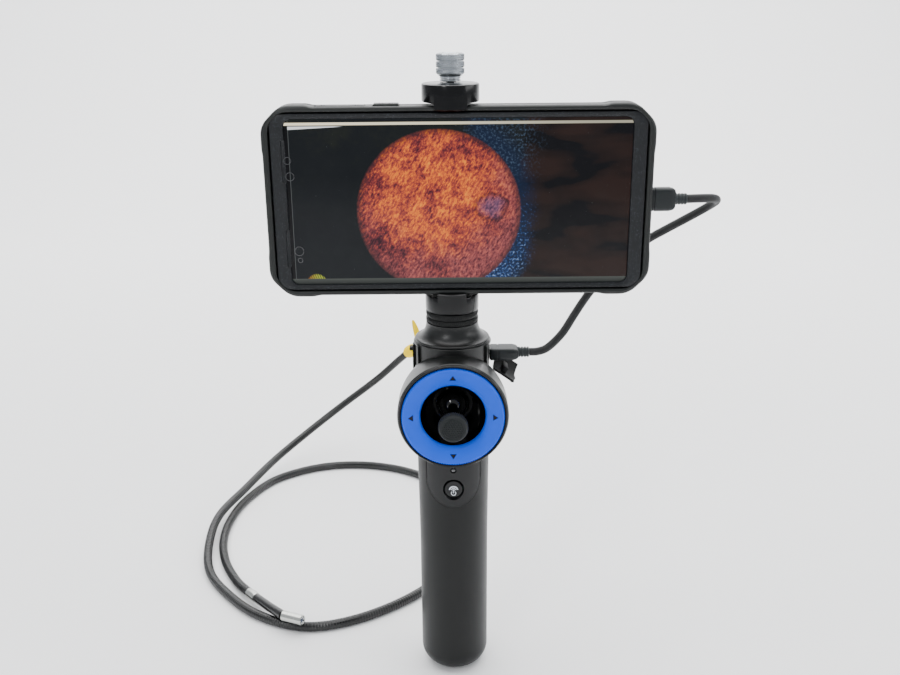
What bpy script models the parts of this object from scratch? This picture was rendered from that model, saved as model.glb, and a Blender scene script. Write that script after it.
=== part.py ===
"""Handheld articulating inspection camera with a clamped phone as its screen.

The origin is the centre of the foot, +Z runs up the grip and the control faces -Y.
Sizes are written in millimetres; every helper turns them into metres.
"""
import math

import bmesh
import bpy
from mathutils import Matrix, Vector

MM = 0.001
GAP = 0.3                 # clearance between pieces that touch

# Grip
GRIP_R = 17.2             # straight part of the grip
GRIP_TOP_R = 17.8         # where the grip meets the head
GRIP_TOP = 125.8
GRIP_WALL = 2.0
FOOT_FILLET = 9.5
PANEL_HALF = 13.0         # half width of the button panel
PANEL_ROUND_Z = 112.0     # centre height of the panel's round end
BUTTON_Z = 108.5
BUTTON_R = 4.5

# Head
HEAD_R = 17.8
HEAD_TOP = 181.0
HEAD_WALL = 2.0
DRUM_Z = 152.3            # height of the control's axis
DRUM_R = 26.0
DRUM_FRONT = -29.0
DRUM_BACK = 9.0
SHOULDER_R = 10.0         # flat back of the drum, inside the post
SHOULDER_FRONT = -19.0    # where the drum starts to round off
RING_R = 24.0             # direction ring, outer and inner radius
RING_HOLE_R = 15.2
BALL_Y = -12.0            # joystick pivot on the control's axis
BALL_R = 6.8
CAP_R = 6.9
PORT_Y = 5.5
PORT_Z = 171.5
EXIT_Z = 170.0            # insertion tube's exit at the back

HEAD_SOLVER = "MANIFOLD"  # its curved walls cross at shallow angles

# Phone holder
SCREW_Y = 7.8
NECK_TOP = 190.0
JAW_R = 12.6
PHONE_X = 3.5
PHONE_Z = 248.2
CASE_W = 175.5
CASE_H = 87.5
CASE_FRONT = -9.0
CASE_BACK = 3.5
PHONE_W = 163.4
PHONE_H = 78.0
PLUG_Y = -3.2
JAW_UP_Z = 292.3          # underside of the upper jaw

# Insertion tube and lead
TUBE_R = 2.75
TIP_R = 2.9
LEAD_R = 2.0
TAG_PLACE = Vector((-31.0, 251.5, 83.5))
YAW_PIVOT = Vector((-109.3, 40.3, 6.0))
PITCH_PIVOT = Vector((-101.5, 30.8, 7.6))
TIP_START = Vector((-96.2, 25.0, 8.5))
TIP_END = Vector((-84.4, 19.8, 8.8))
FERRULE_START = Vector((-121.0, 54.2, 4.4))
FERRULE_END = Vector((-115.4, 47.6, 5.1))

TUBE_ROUTE = [
    (0, 50.4, 170), (0, 80, 170.5), (-1, 120, 168), (-4, 160, 158), (-8, 203, 134),
    (-14, 236, 100), (-34, 254, 81), (-57, 262, 58), (-84, 259, 38), (-109, 243, 23),
    (-131, 215, 13), (-146, 178, 8.8), (-156.5, 140, 8.4), (-156.5, 108, 5.6), (-150, 80, 3),
    (-134.5, 56, 2.8), (-112, 34, 2.8), (-84, 22.5, 2.8), (-56, 29, 2.8), (-28, 48, 2.8),
    (-8, 72, 2.8), (6, 103, 2.8), (9, 138, 2.8), (2, 172, 2.8), (-13, 197, 2.8),
    (-33, 214, 2.8), (-54, 223, 2.8), (-75, 226, 2.8), (-95, 223.5, 2.8), (-114, 215, 2.8),
    (-132, 199, 2.8), (-145.5, 170, 2.8), (-150.3, 141, 2.8), (-149, 115, 2.8),
    (-142.5, 91, 2.8), (-131.5, 69, 3.2), (-121.3, 54.6, 4.3),
]
LEAD_ROUTE = [
    (107.6, -3.2, 248.2), (114.5, -2.9, 248.3), (120.6, 0.2, 247.6), (123.6, 6.4, 245.2),
    (121.2, 12.8, 241), (113.6, 16.2, 235.4), (104, 17.6, 229.6), (94, 18, 223.6),
    (83.5, 17.6, 215.6), (74, 16.4, 206.6), (66.4, 14.4, 197.6), (60, 11.8, 188.6),
    (54, 8.8, 180), (47, 6.4, 173.6), (42, 5.6, 171.7), (37.7, 5.5, 171.5),
]


def clear_scene():
    for obj in list(bpy.data.objects):
        bpy.data.objects.remove(obj, do_unlink=True)


def material(name, color, roughness, metallic=0.0):
    mat = bpy.data.materials.new(name)
    mat.use_nodes = True
    shader = mat.node_tree.nodes["Principled BSDF"]
    shader.inputs["Base Color"].default_value = (*color, 1.0)
    shader.inputs["Roughness"].default_value = roughness
    shader.inputs["Metallic"].default_value = metallic
    return mat


def add_object(name, bm, mat, smooth=True):
    """Turn a millimetre bmesh into a metre-sized object with outward faces."""
    bmesh.ops.recalc_face_normals(bm, faces=bm.faces)
    mesh = bpy.data.meshes.new(name)
    bm.to_mesh(mesh)
    bm.free()
    mesh.transform(Matrix.Scale(MM, 4))
    if smooth:
        mesh.shade_smooth()
        mesh.set_sharp_from_angle(angle=math.radians(35))
    obj = bpy.data.objects.new(name, mesh)
    mesh.materials.append(mat)
    bpy.context.collection.objects.link(obj)
    return obj


def turned_bmesh(profile, steps=32):
    """Revolve a closed (radius, height) outline about Z; radius 0 gives a pole."""
    bm = bmesh.new()
    rings = []
    for radius, height in profile:
        if radius == 0:
            rings.append([bm.verts.new((0, 0, height))])
            continue
        rings.append([
            bm.verts.new((radius * math.cos(math.tau * i / steps),
                          radius * math.sin(math.tau * i / steps), height))
            for i in range(steps)
        ])
    for a, b in zip(rings, rings[1:] + rings[:1]):
        if len(a) == 1 and len(b) == 1:
            continue
        for i in range(steps):
            j = (i + 1) % steps
            quad = [a[i % len(a)], a[j % len(a)], b[j % len(b)], b[i % len(b)]]
            face = list(dict.fromkeys(quad))
            bm.faces.new(face)
    return bm


def aim(direction):
    return Vector((0, 0, 1)).rotation_difference(Vector(direction).normalized()).to_matrix().to_4x4()


def turned(name, profile, mat, at=(0, 0, 0), along=(0, 0, 1), steps=32):
    bm = turned_bmesh(profile, steps)
    bm.transform(Matrix.Translation(at) @ aim(along))
    return add_object(name, bm, mat)


def block_bmesh(low, high, bevel=0.0, segments=2):
    bm = bmesh.new()
    bmesh.ops.create_cube(bm, size=1.0)
    low, high = Vector(low), Vector(high)
    bm.transform(Matrix.Translation((low + high) / 2) @ Matrix.Diagonal((*(high - low), 1)))
    if bevel:
        bmesh.ops.bevel(bm, geom=list(bm.edges), offset=bevel, segments=segments,
                        profile=0.5, affect="EDGES")
    return bm


def block(name, low, high, mat, bevel=0.0, segments=2):
    return add_object(name, block_bmesh(low, high, bevel, segments), mat)


def rounded_outline(width, height, radius, steps=5):
    """Corners of a rounded rectangle in X and Z, anticlockwise seen from the front."""
    points = []
    for quarter, (sx, sz) in enumerate(((1, 1), (-1, 1), (-1, -1), (1, -1))):
        cx, cz = sx * (width / 2 - radius), sz * (height / 2 - radius)
        for i in range(steps + 1):
            angle = math.pi / 2 * (quarter + i / steps)
            points.append((cx + radius * math.cos(angle), cz + radius * math.sin(angle)))
    return points


def plate_bmesh(levels, centre, steps=5):
    """Loft rounded rectangles given as (y, width, height, corner radius) and cap both ends."""
    bm = bmesh.new()
    loops = []
    for y, width, height, radius in levels:
        outline = rounded_outline(width, height, radius, steps)
        loops.append([bm.verts.new((centre[0] + x, y, centre[1] + z)) for x, z in outline])
    count = len(loops[0])
    for a, b in zip(loops, loops[1:]):
        for i in range(count):
            j = (i + 1) % count
            bm.faces.new((a[i], a[j], b[j], b[i]))
    bm.faces.new(loops[0])
    bm.faces.new(reversed(loops[-1]))
    return bm


def plate(name, levels, centre, mat, steps=5):
    return add_object(name, plate_bmesh(levels, centre, steps), mat)


def tool(bm):
    """A throwaway solid for a Boolean."""
    return add_object("tool", bm, CUTTER, smooth=False)


def combine(obj, operation, *bmeshes, solver="EXACT"):
    """Apply Booleans at once and drop their tools."""
    for bm in bmeshes:
        other = tool(bm)
        mod = obj.modifiers.new("cut", "BOOLEAN")
        mod.operation = operation
        mod.solver = solver
        mod.object = other
        bpy.context.view_layer.update()
        graph = bpy.context.evaluated_depsgraph_get()
        mesh = bpy.data.meshes.new_from_object(obj.evaluated_get(graph))
        obj.modifiers.clear()
        name = obj.name
        obj.data = mesh
        mesh.name = name
        if len(mesh.materials) > 1:
            first = mesh.materials[0]
            mesh.materials.clear()
            mesh.materials.append(first)
        mesh.shade_smooth()
        mesh.set_sharp_from_angle(angle=math.radians(35))
        bpy.data.objects.remove(other, do_unlink=True)
    return obj


def cylinder_bmesh(radius, start, end, steps=32):
    start, end = Vector(start), Vector(end)
    length = (end - start).length
    bm = turned_bmesh([(0, 0), (radius, 0), (radius, length), (0, length)], steps)
    bm.transform(Matrix.Translation(start) @ aim(end - start))
    return bm


def smooth_route(points, count):
    """Even points along a Catmull-Rom curve through the route's own points."""
    pts = [Vector(p) for p in points]
    pts = [2 * pts[0] - pts[1], *pts, 2 * pts[-1] - pts[-2]]
    dense = []
    for a, b, c, d in zip(pts, pts[1:], pts[2:], pts[3:]):
        for i in range(12):
            t = i / 12
            dense.append(0.5 * (2 * b + (c - a) * t + (2 * a - 5 * b + 4 * c - d) * t ** 2
                                + (3 * b - a - 3 * c + d) * t ** 3))
    dense.append(pts[-2])
    runs = [0.0]
    for a, b in zip(dense, dense[1:]):
        runs.append(runs[-1] + (b - a).length)
    result, k = [], 0
    for i in range(count):
        goal = runs[-1] * i / (count - 1)
        while k < len(runs) - 2 and runs[k + 1] < goal:
            k += 1
        share = (goal - runs[k]) / (runs[k + 1] - runs[k])
        result.append(dense[k].lerp(dense[k + 1], min(share, 1.0)))
    return result


def cord(name, route, radius, count, mat, sides):
    curve = bpy.data.curves.new(name, "CURVE")
    curve.dimensions = "3D"
    curve.bevel_depth = radius * MM
    curve.bevel_resolution = sides
    curve.use_fill_caps = True
    spline = curve.splines.new("POLY")
    points = smooth_route(route, count)
    spline.points.add(len(points) - 1)
    for slot, point in zip(spline.points, points):
        slot.co = (*(point * MM), 1)
    curve.materials.append(mat)
    obj = bpy.data.objects.new(name, curve)
    bpy.context.collection.objects.link(obj)
    return obj


def pivot(name, at, *pieces):
    """An empty on a joint's axis that carries the pieces of its body."""
    empty = bpy.data.objects.new(name, None)
    empty.location = Vector(at) * MM
    bpy.context.collection.objects.link(empty)
    for piece in pieces:
        piece.parent = empty
        piece.location = piece.location - empty.location
    return empty


def half_space(front):
    """The room in front of or behind the seam between the shells."""
    if front:
        return block_bmesh((-60, -60, -5), (60, -GAP / 2, 200))
    return block_bmesh((-60, GAP / 2, -5), (60, 60, 200))


def panel_prism(margin):
    """The button panel's U outline, run through the front of the grip."""
    half = PANEL_HALF + margin
    bm = bmesh.new()
    low = [(half * math.cos(a), PANEL_ROUND_Z + half * math.sin(a))
           for a in (math.pi + math.pi * i / 14 for i in range(15))]
    outline = low + [(half, GRIP_TOP + 3), (-half, GRIP_TOP + 3)]
    front = [bm.verts.new((x, -40, z)) for x, z in outline]
    back = [bm.verts.new((x, -8, z)) for x, z in outline]
    for i in range(len(outline)):
        j = (i + 1) % len(outline)
        bm.faces.new((front[i], front[j], back[j], back[i]))
    bm.faces.new(front)
    bm.faces.new(reversed(back))
    bmesh.ops.recalc_face_normals(bm, faces=bm.faces)
    return bm


def grip_outline():
    """Grip wall from the top down: rounded foot outside, hollow inside."""
    outer = [(GRIP_TOP_R, GRIP_TOP), (GRIP_TOP_R - 0.25, 104), (GRIP_R, 76)]
    centre_r, centre_z = GRIP_R - FOOT_FILLET, FOOT_FILLET + GAP
    for i in range(7):
        a = math.pi / 2 * i / 6
        outer.append((centre_r + FOOT_FILLET * math.cos(a), centre_z - FOOT_FILLET * math.sin(a)))
    inner = [(7.3, GAP), (7.3, 3.0), (GRIP_R - 4.5, 4.6), (GRIP_R - GRIP_WALL, 9.0),
             (GRIP_R - GRIP_WALL, 76), (GRIP_TOP_R - GRIP_WALL, GRIP_TOP)]
    return outer + inner


def build_grip():
    shell = {}
    for side, front in (("front", True), ("rear", False)):
        piece = turned(f"grip_{side}", grip_outline(), SATIN, steps=40)
        combine(piece, "INTERSECT", half_space(front))
        shell[side] = piece
    combine(shell["front"], "DIFFERENCE", panel_prism(GAP))

    panel = turned("button_panel", [(GRIP_TOP_R + 0.1, GRIP_TOP), (GRIP_TOP_R - 0.1, 96),
                                    (GRIP_TOP_R - 2.4, 96), (GRIP_TOP_R - 2.4, GRIP_TOP)],
                   GLOSS, steps=48)
    combine(panel, "INTERSECT", panel_prism(0))
    combine(panel, "DIFFERENCE",
            cylinder_bmesh(BUTTON_R + GAP, (0, -30, BUTTON_Z), (0, -5, BUTTON_Z), 24),
            cylinder_bmesh(1.2 + GAP, (0, -30, 119), (0, -5, 119), 12))
    button = turned("power_button", [(0, 0), (BUTTON_R, 0), (BUTTON_R, 2.6),
                                     (BUTTON_R - 0.5, 3.1), (0, 3.1)],
                    GLOSS, (0, -14.2, BUTTON_Z), (0, -1, 0), 24)
    turned("status_light", [(0, 0), (1.2, 0), (1.2, 2.2), (0.8, 2.5), (0, 2.5)],
           CLEAR, (0, -15.3, 119), (0, -1, 0), 12)
    block("power_switch", (-3, -13.1, BUTTON_Z - 3), (3, -10.3, BUTTON_Z + 3), STEEL, 0.3, 1)
    block("main_board", (-11, -10.0, 82), (11, -8.4, 124), BOARD, 0.2, 1)
    turned("foot_pad", [(0, 0), (6.6, 0), (7.0, 0.4), (7.0, 2.2), (0, 2.2)], RUBBER)
    turned("battery_cell", [(0, 11), (8.8, 11), (9.2, 11.6), (9.2, 75.2), (8.7, 76),
                            (3, 76), (3, 77.2), (0, 77.2)], CELL)
    holder = turned("battery_holder", [(9.6, 8.2), (14.6, 9.6), (14.6, 79), (9.6, 79)], BOARD)
    combine(holder, "DIFFERENCE", block_bmesh((-20, -20, 12), (20, -4, 75)))
    coil = []
    steps = 36
    for i in range(steps + 1):
        turn = math.tau * 3.0 * i / steps
        radius = 6.4 - 3.2 * i / steps
        coil.append((radius * math.cos(turn), radius * math.sin(turn), 5.0 + 5.0 * i / steps))
    cord("contact_spring", coil, 0.45, 37, STEEL, 0)
    return button


def head_bmesh(shrink, front, back):
    """Outline of the head, a post crossed by the control drum, less a wall thickness."""
    bottom = GRIP_TOP + GAP - shrink
    post = turned_bmesh([(0, bottom), (HEAD_R - shrink, bottom),
                         (HEAD_R - shrink, HEAD_TOP - shrink), (0, HEAD_TOP - shrink)], 40)
    outline = [(DRUM_R - 0.5 - shrink, front)]
    for i in range(9):
        angle = math.pi / 2 * i / 8
        outline.append((SHOULDER_R + (DRUM_R - SHOULDER_R) * math.cos(angle) - shrink,
                        SHOULDER_FRONT + (back - SHOULDER_FRONT) * math.sin(angle)))
    drum = turned_bmesh([(0, front), *outline, (0, back)], 48)
    drum.transform(Matrix.Translation((0, 0, DRUM_Z)) @ aim((0, 1, 0)))
    return post, drum


def build_head():
    for side, front in (("front", True), ("rear", False)):
        post, drum = head_bmesh(0, DRUM_FRONT, DRUM_BACK)
        shell = add_object(f"head_{side}", post, SATIN)
        combine(shell, "UNION", drum, solver=HEAD_SOLVER)
        combine(shell, "INTERSECT", half_space(front), solver=HEAD_SOLVER)
        hollow_post, hollow_drum = head_bmesh(HEAD_WALL, DRUM_FRONT - 2, DRUM_BACK - HEAD_WALL)
        combine(shell, "DIFFERENCE", hollow_post, hollow_drum,
                cylinder_bmesh(RING_R + 0.35, (0, DRUM_FRONT - 3, DRUM_Z), (0, -27.0, DRUM_Z), 46),
                cylinder_bmesh(5.6, (0, 0, HEAD_TOP - 5), (0, 0, HEAD_TOP + 5), 26),
                solver=HEAD_SOLVER)
        if not front:
            for sign in (-1, 1):
                combine(shell, "DIFFERENCE", block_bmesh(
                    (min(sign * 12, sign * 20), PORT_Y - 5, PORT_Z - 2.2),
                    (max(sign * 12, sign * 20), PORT_Y + 5, PORT_Z + 2.2)))
            combine(shell, "DIFFERENCE",
                    cylinder_bmesh(4.6, (0, 10, EXIT_Z), (0, 30, EXIT_Z), 24))

    centre = (0, 0, DRUM_Z)
    turned("ring_bezel", [(25.6, 29.3), (25.3, 30.0), (24.5, 30.0), (24.4, 29.3)],
           GLOSS, centre, (0, -1, 0), 48)
    ring = turned("direction_ring", [
        (RING_R, 27.8), (RING_R, 30.4), (RING_R - 0.7, 31.1), (21.6, 31.0), (18.4, 30.4),
        (16.3, 29.8), (15.5, 29.0), (RING_HOLE_R, 27.8)], BLUE, centre, (0, -1, 0), 48)
    turned("joystick_bowl", [
        (23.1, 27.5), (15.0, 27.5), (14.8, 25.4), (13.0, 21.0), (10.4, 17.6), (7.5, 15.3), (7.1, 14.6),
        (7.6, 14.0), (11.0, 16.2), (14.0, 20.0), (16.0, 24.6), (17.0, 25.8), (23.1, 25.8)],
        GLOSS, centre, (0, -1, 0), 32)
    turned("gimbal_frame", [(11.4, 10.6), (14.6, 10.6), (14.6, 13.4), (11.4, 13.4)],
           STEEL, centre, (0, -1, 0), 32)
    gimbal = turned("gimbal_ring", [(7.4, 8.4), (10.0, 8.4), (10.0, 10.2), (7.4, 10.2)],
                    STEEL, centre, (0, -1, 0), 24)
    stick = turned("joystick", [(0, 2.4)] + [(1.9, 2.4), (1.9, 12 - math.sqrt(BALL_R ** 2 - 1.9 ** 2))]
                   + [(BALL_R * math.cos(a), 12 + BALL_R * math.sin(a))
                      for a in (math.radians(-60 + 132 * i / 8) for i in range(9))]
                   + [(2.0, 22), (2.0, 38.2), (0, 38.2)], GLOSS, centre, (0, -1, 0), 20)
    cap = turned("thumb_cap", [(0, 38.5), (5.4, 38.5), (CAP_R, 39.6), (CAP_R, 42.6), (6.2, 43.7),
                               (0, 44.4)], RUBBER, centre, (0, -1, 0), 32)
    pull = turned("wire_plate", [(0, 0.6), (9.0, 0.6), (9.0, 2.1), (0, 2.1)], STEEL,
                  centre, (0, -1, 0), 24)
    wires = turned("pull_wires", [(3.0, -11.6), (4.0, -11.6), (4.0, -8.6), (3.0, -8.6)], STEEL,
                   centre, (0, -1, 0), 16)
    for quarter in range(4):
        angle = math.pi / 2 * quarter
        start = Vector((3.5 * math.cos(angle), 10.5, DRUM_Z + 3.5 * math.sin(angle)))
        end = Vector((7.4 * math.cos(angle), 0.4, DRUM_Z + 7.4 * math.sin(angle)))
        combine(wires, "UNION", cylinder_bmesh(0.4, start, end, 8))
    return ring, gimbal, stick, cap, pull


def port_cover(name, sign):
    """A rubber flap curved round the head, with a pull tab and a boss that plugs the port."""
    bm = bmesh.new()
    grid = []
    angles = [math.radians(-4 + 46 * i / 6) for i in range(7)]
    for r in (HEAD_R + GAP, HEAD_R + 1.3):
        grid.append([[bm.verts.new((sign * r * math.cos(a), r * math.sin(a), z)) for a in angles]
                     for z in (PORT_Z - 5.8, PORT_Z + 6.6)])
    inner, outer = grid
    last = len(angles) - 1
    for i in range(last):
        bm.faces.new((inner[0][i], inner[0][i + 1], inner[1][i + 1], inner[1][i]))
        bm.faces.new((outer[0][i], outer[1][i], outer[1][i + 1], outer[0][i + 1]))
        for k in (0, 1):
            bm.faces.new((inner[k][i], outer[k][i], outer[k][i + 1], inner[k][i + 1]))
    for i in (0, last):
        bm.faces.new((inner[0][i], inner[1][i], outer[1][i], outer[0][i]))
    cover = add_object(name, bm, RUBBER)
    boss_low, boss_high = sorted((sign * 15.2, sign * 18.4))
    combine(cover, "UNION", block_bmesh((boss_low, PORT_Y - 4.4, PORT_Z - 1.3),
                                        (boss_high, PORT_Y + 4.4, PORT_Z + 1.3), 0.5, 1))
    tab_low, tab_high = sorted((sign * 17.9, sign * 20.4))
    combine(cover, "UNION", block_bmesh((tab_low, PORT_Y - 2, PORT_Z + 6.0),
                                        (tab_high, PORT_Y + 2, PORT_Z + 7.6), 0.4, 1))
    return cover


def build_ports():
    for side, sign in (("left", -1), ("right", 1)):
        inner, outer = sorted((sign * 5.4, sign * 12.8))
        socket = block(f"usb_socket_{side}", (inner, PORT_Y - 4.6, PORT_Z - 1.8),
                       (outer, PORT_Y + 4.6, PORT_Z + 1.8), STEEL, 0.8, 2)
        mouth = sorted((sign * 6.8, sign * 20))
        combine(socket, "DIFFERENCE", block_bmesh((mouth[0], PORT_Y - 4.2, PORT_Z - 1.35),
                                                  (mouth[1], PORT_Y + 4.2, PORT_Z + 1.35), 0.6, 2))
    left = port_cover("port_cover_left", -1)
    right = port_cover("port_cover_right", 1)
    hinge = Vector((HEAD_R + 1.3, PORT_Y, PORT_Z - 6.2))
    swing = (Matrix.Translation(hinge * MM) @ Matrix.Rotation(math.radians(125), 4, "Y")
             @ Matrix.Translation(-hinge * MM))
    right.data.transform(swing)
    turned("exit_gland", [(3.2, 0), (4.3, 0), (4.3, 4.6), (6.0, 4.6), (6.0, 6.2), (3.2, 6.2)],
           STEEL, (0, 13.4, EXIT_Z), (0, 1, 0), 24)
    turned("exit_boot", [(0, 0), (5.6, 0), (5.4, 6), (4.6, 17), (3.7, 30), (0, 30)], RUBBER,
           (0, 20, EXIT_Z), (0, 1, 0), 24)
    return left, right


def build_holder():
    flare = [(HEAD_R, HEAD_TOP + GAP), (HEAD_R, HEAD_TOP + 0.9)]
    for i in range(7):
        t = i / 6
        flare.append((HEAD_R - 0.5 - 4.9 * math.sin(t * math.pi / 2), HEAD_TOP + 1.3 + 7.7 * t ** 1.6))
    turned("neck_cap", [(5.3, HEAD_TOP + GAP)] + flare + [(12.4, NECK_TOP), (5.3, NECK_TOP)],
           SATIN, steps=32)
    lock = turned("lock_ring", [(5.8, NECK_TOP + GAP), (12.3, NECK_TOP + GAP), (12.5, NECK_TOP + 0.7),
                                (12.5, 195.4), (12.2, 195.9), (5.8, 195.9)], SATIN, steps=40)
    spindle = turned("swivel_spindle", [(0, 174.5), (7.6, 174.5), (7.6, 177.5), (5.0, 177.5),
                                        (5.0, 196.0), (0, 196.0)], STEEL, steps=24)
    lower = turned("lower_jaw", [(0, 196.2), (12.2, 196.2), (JAW_R, 196.7), (JAW_R, 203.9),
                                 (0, 203.9)], ANODISED, steps=40)
    combine(lower, "UNION", block_bmesh((-6.7, -12.4, 200), (6.7, -9.3, 206.0), 0.4, 1),
            block_bmesh((-7.5, 3.9, 198), (7.5, 14.0, 212), 0.6, 1))
    combine(lower, "DIFFERENCE", block_bmesh((-9.3, -8.8, 203.0), (9.3, 3.3, 210)),
            block_bmesh((-6.3, 4.2, 200.0), (6.3, 12.8, 215)))
    lower_pad = block("lower_pad", (-9, -8.5, 203.3), (9, 3.0, 204.2), RUBBER, 0.2, 1)
    spine = block("spine", (-6, 4.5, 200.3), (6, 12.5, 287), ANODISED, 0.5, 1)
    combine(spine, "DIFFERENCE", block_bmesh((-4.6, 5.6, 208), (4.6, 11.4, 290)))
    upper = turned("upper_jaw", [(0, JAW_UP_Z), (12.3, JAW_UP_Z), (12.9, JAW_UP_Z + 0.8),
                                 (12.9, JAW_UP_Z + 7.4), (12.4, JAW_UP_Z + 8.0), (0, JAW_UP_Z + 8.0)],
                   ANODISED, steps=40)
    combine(upper, "UNION", block_bmesh((-7.6, -12.6, JAW_UP_Z - 3.0), (7.6, -9.3, JAW_UP_Z + 4), 0.4, 1),
            block_bmesh((-4.2, 10.0, 246), (4.2, 11.1, JAW_UP_Z + 1)))
    combine(upper, "DIFFERENCE", cylinder_bmesh(2.9, (0, SCREW_Y, 280), (0, SCREW_Y, 310), 20))
    rod = turned("clamp_screw", [(0, 230), (1.7, 230), (1.9, 231), (1.9, 301.4), (0, 301.4)],
                 STEEL, (0, SCREW_Y, 0), steps=16)
    nut = block("screw_nut", (-4.3, 5.9, 234), (4.3, 11.1, 239), BRASS, 0.3, 1)
    combine(nut, "DIFFERENCE", cylinder_bmesh(2.2, (0, SCREW_Y, 230), (0, SCREW_Y, 245), 18))
    knob = turned("clamp_knob", [
        (0, 301.7), (4.8, 301.7), (4.8, 302.6), (5.8, 303.0), (6.4, 303.8), (6.4, 306.0),
        (5.9, 306.2), (5.9, 306.5), (6.4, 306.7), (6.4, 309.0), (5.9, 309.2), (5.9, 309.5),
        (6.4, 309.7), (6.4, 312.2), (5.9, 312.8), (0, 312.8)], STEEL, (0, SCREW_Y, 0), steps=24)
    collar = turned("knob_collar", [(4.8, JAW_UP_Z + 8.3), (4.8, 301.4), (2.3, 301.4),
                                    (2.3, JAW_UP_Z + 8.3)], STEEL, (0, SCREW_Y, 0), steps=24)
    return lock, [spindle, lower, lower_pad, spine, nut], upper, [rod, knob, collar]


def build_phone():
    centre = (PHONE_X, PHONE_Z)
    case = plate("phone_case", [
        (CASE_FRONT, CASE_W - 2.0, CASE_H - 2.0, 9.0), (CASE_FRONT + 1.2, CASE_W, CASE_H, 10),
        (CASE_BACK - 1.6, CASE_W, CASE_H, 10), (CASE_BACK, CASE_W - 3.2, CASE_H - 3.2, 8.6)],
        centre, RUBBER)
    combine(case, "DIFFERENCE",
            plate_bmesh([(-20, 168.2, 81.0, 6.5), (1.4, 168.2, 81.0, 6.5)], centre),
            block_bmesh((PHONE_X + 80, PLUG_Y - 3.4, PHONE_Z - 6.0),
                        (PHONE_X + 92, PLUG_Y + 3.4, PHONE_Z + 6.0)),
            plate_bmesh([(-1, 22, 28, 5), (8, 22, 28, 5)], (PHONE_X - 62, PHONE_Z + 18)))
    keys = []
    top = PHONE_Z + CASE_H / 2
    for name, left, right in (("volume_key_cover", -60, -38), ("power_key_cover", -34.2, -22.8)):
        combine(case, "DIFFERENCE", block_bmesh((left - GAP, -6.8, top - 2.2), (right + GAP, -0.6, top + 3)))
        keys.append(block(name, (left, -6.5, top - 1.6), (right, -0.9, top + 0.7), RUBBER, 0.5, 1))
    frame = plate("case_frame", [(-8.7, 167.0, 79.8, 6.0), (-8.3, 167.6, 80.4, 6.2),
                                 (0.8, 167.6, 80.4, 6.2)], centre, GLOSS)
    combine(frame, "DIFFERENCE",
            plate_bmesh([(-7.6, 164.0, 78.6, 5.5), (3, 164.0, 78.6, 5.5)], centre),
            plate_bmesh([(-12, 154.6, 75.4, 3.5), (-5, 154.6, 75.4, 3.5)], centre),
            block_bmesh((PHONE_X + 80, PLUG_Y - 3.4, PHONE_Z - 6.0),
                        (PHONE_X + 92, PLUG_Y + 3.4, PHONE_Z + 6.0)))
    body = plate("phone_body", [(-6.6, PHONE_W, PHONE_H, 5.2), (-0.6, PHONE_W, PHONE_H, 5.2),
                                (0.8, PHONE_W - 2.4, PHONE_H - 2.4, 4.2)], centre, GLOSS)
    combine(body, "DIFFERENCE", block_bmesh((PHONE_X + PHONE_W / 2 - 7, PLUG_Y - 1.4, PHONE_Z - 4.4),
                                            (PHONE_X + PHONE_W / 2 + 1, PLUG_Y + 1.4, PHONE_Z + 4.4)))
    screen = plate("phone_screen", [(-7.9 + GAP, 161.8, 76.6, 4.6), (-6.6 - GAP, 162.6, 77.4, 5)],
                   centre, CLEAR)
    lens = plate("rear_camera", [(1.1, 20.6, 26.6, 4.4), (2.6, 20.6, 26.6, 4.4)],
                 (PHONE_X - 62, PHONE_Z + 18), CLEAR)
    return [case, frame, body, screen, lens], keys


def plug(name, base, along, half_wide, wide_axis):
    """A moulded plug with its metal nose and strain relief, built pointing along +X."""
    sx = along
    wide = half_wide
    thick = 3.0
    side = (wide, thick) if wide_axis == "Y" else (thick, wide)
    low = Vector((min(base[0], base[0] + sx * 14.2), base[1] - side[0], base[2] - side[1]))
    high = Vector((max(base[0], base[0] + sx * 14.2), base[1] + side[0], base[2] + side[1]))
    body = block(name, low, high, PLUG, 1.0, 2)
    relief = cylinder_bmesh(2.6, (base[0] + 13.8 * sx, base[1], base[2]),
                            (base[0] + 19.4 * sx, base[1], base[2]), 16)
    combine(body, "UNION", relief)
    nose = (4.15, 1.2) if wide_axis == "Y" else (1.2, 4.15)
    metal = block(name + "_shell", (base[0] - 6.4, base[1] - nose[0], base[2] - nose[1]),
                  (base[0] - GAP, base[1] + nose[0], base[2] + nose[1]), STEEL, 0.7, 2)
    return body, metal


def build_leads():
    case_plug = plug("phone_plug", (PHONE_X + PHONE_W / 2 + 2.7, PLUG_Y, PHONE_Z), 1, 5.4, "Z")
    handle_plug = plug("handle_plug", (18.0, PORT_Y, PORT_Z), 1, 5.4, "Y")
    lead = cord("usb_lead", LEAD_ROUTE, LEAD_R, 30, BRAID, 2)
    return case_plug, handle_plug, lead


def link(name, start, end, trim_start, trim_end, mat):
    """A vertebra of the bending section, with cones that let it fold about its pivots."""
    start, end = Vector(start), Vector(end)
    length = (end - start).length
    near = [(0.5, 0.3), (2.1, 1.2)] if trim_start else [(2.1, GAP)]
    far = [(2.1, length - 1.2), (0.5, length - 0.3)] if trim_end else [(2.1, length - 1.5)]
    profile = [(0, near[0][1]), *near, *far, (0, far[-1][1])]
    return turned(name, profile, mat, start, end - start, 16)


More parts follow.
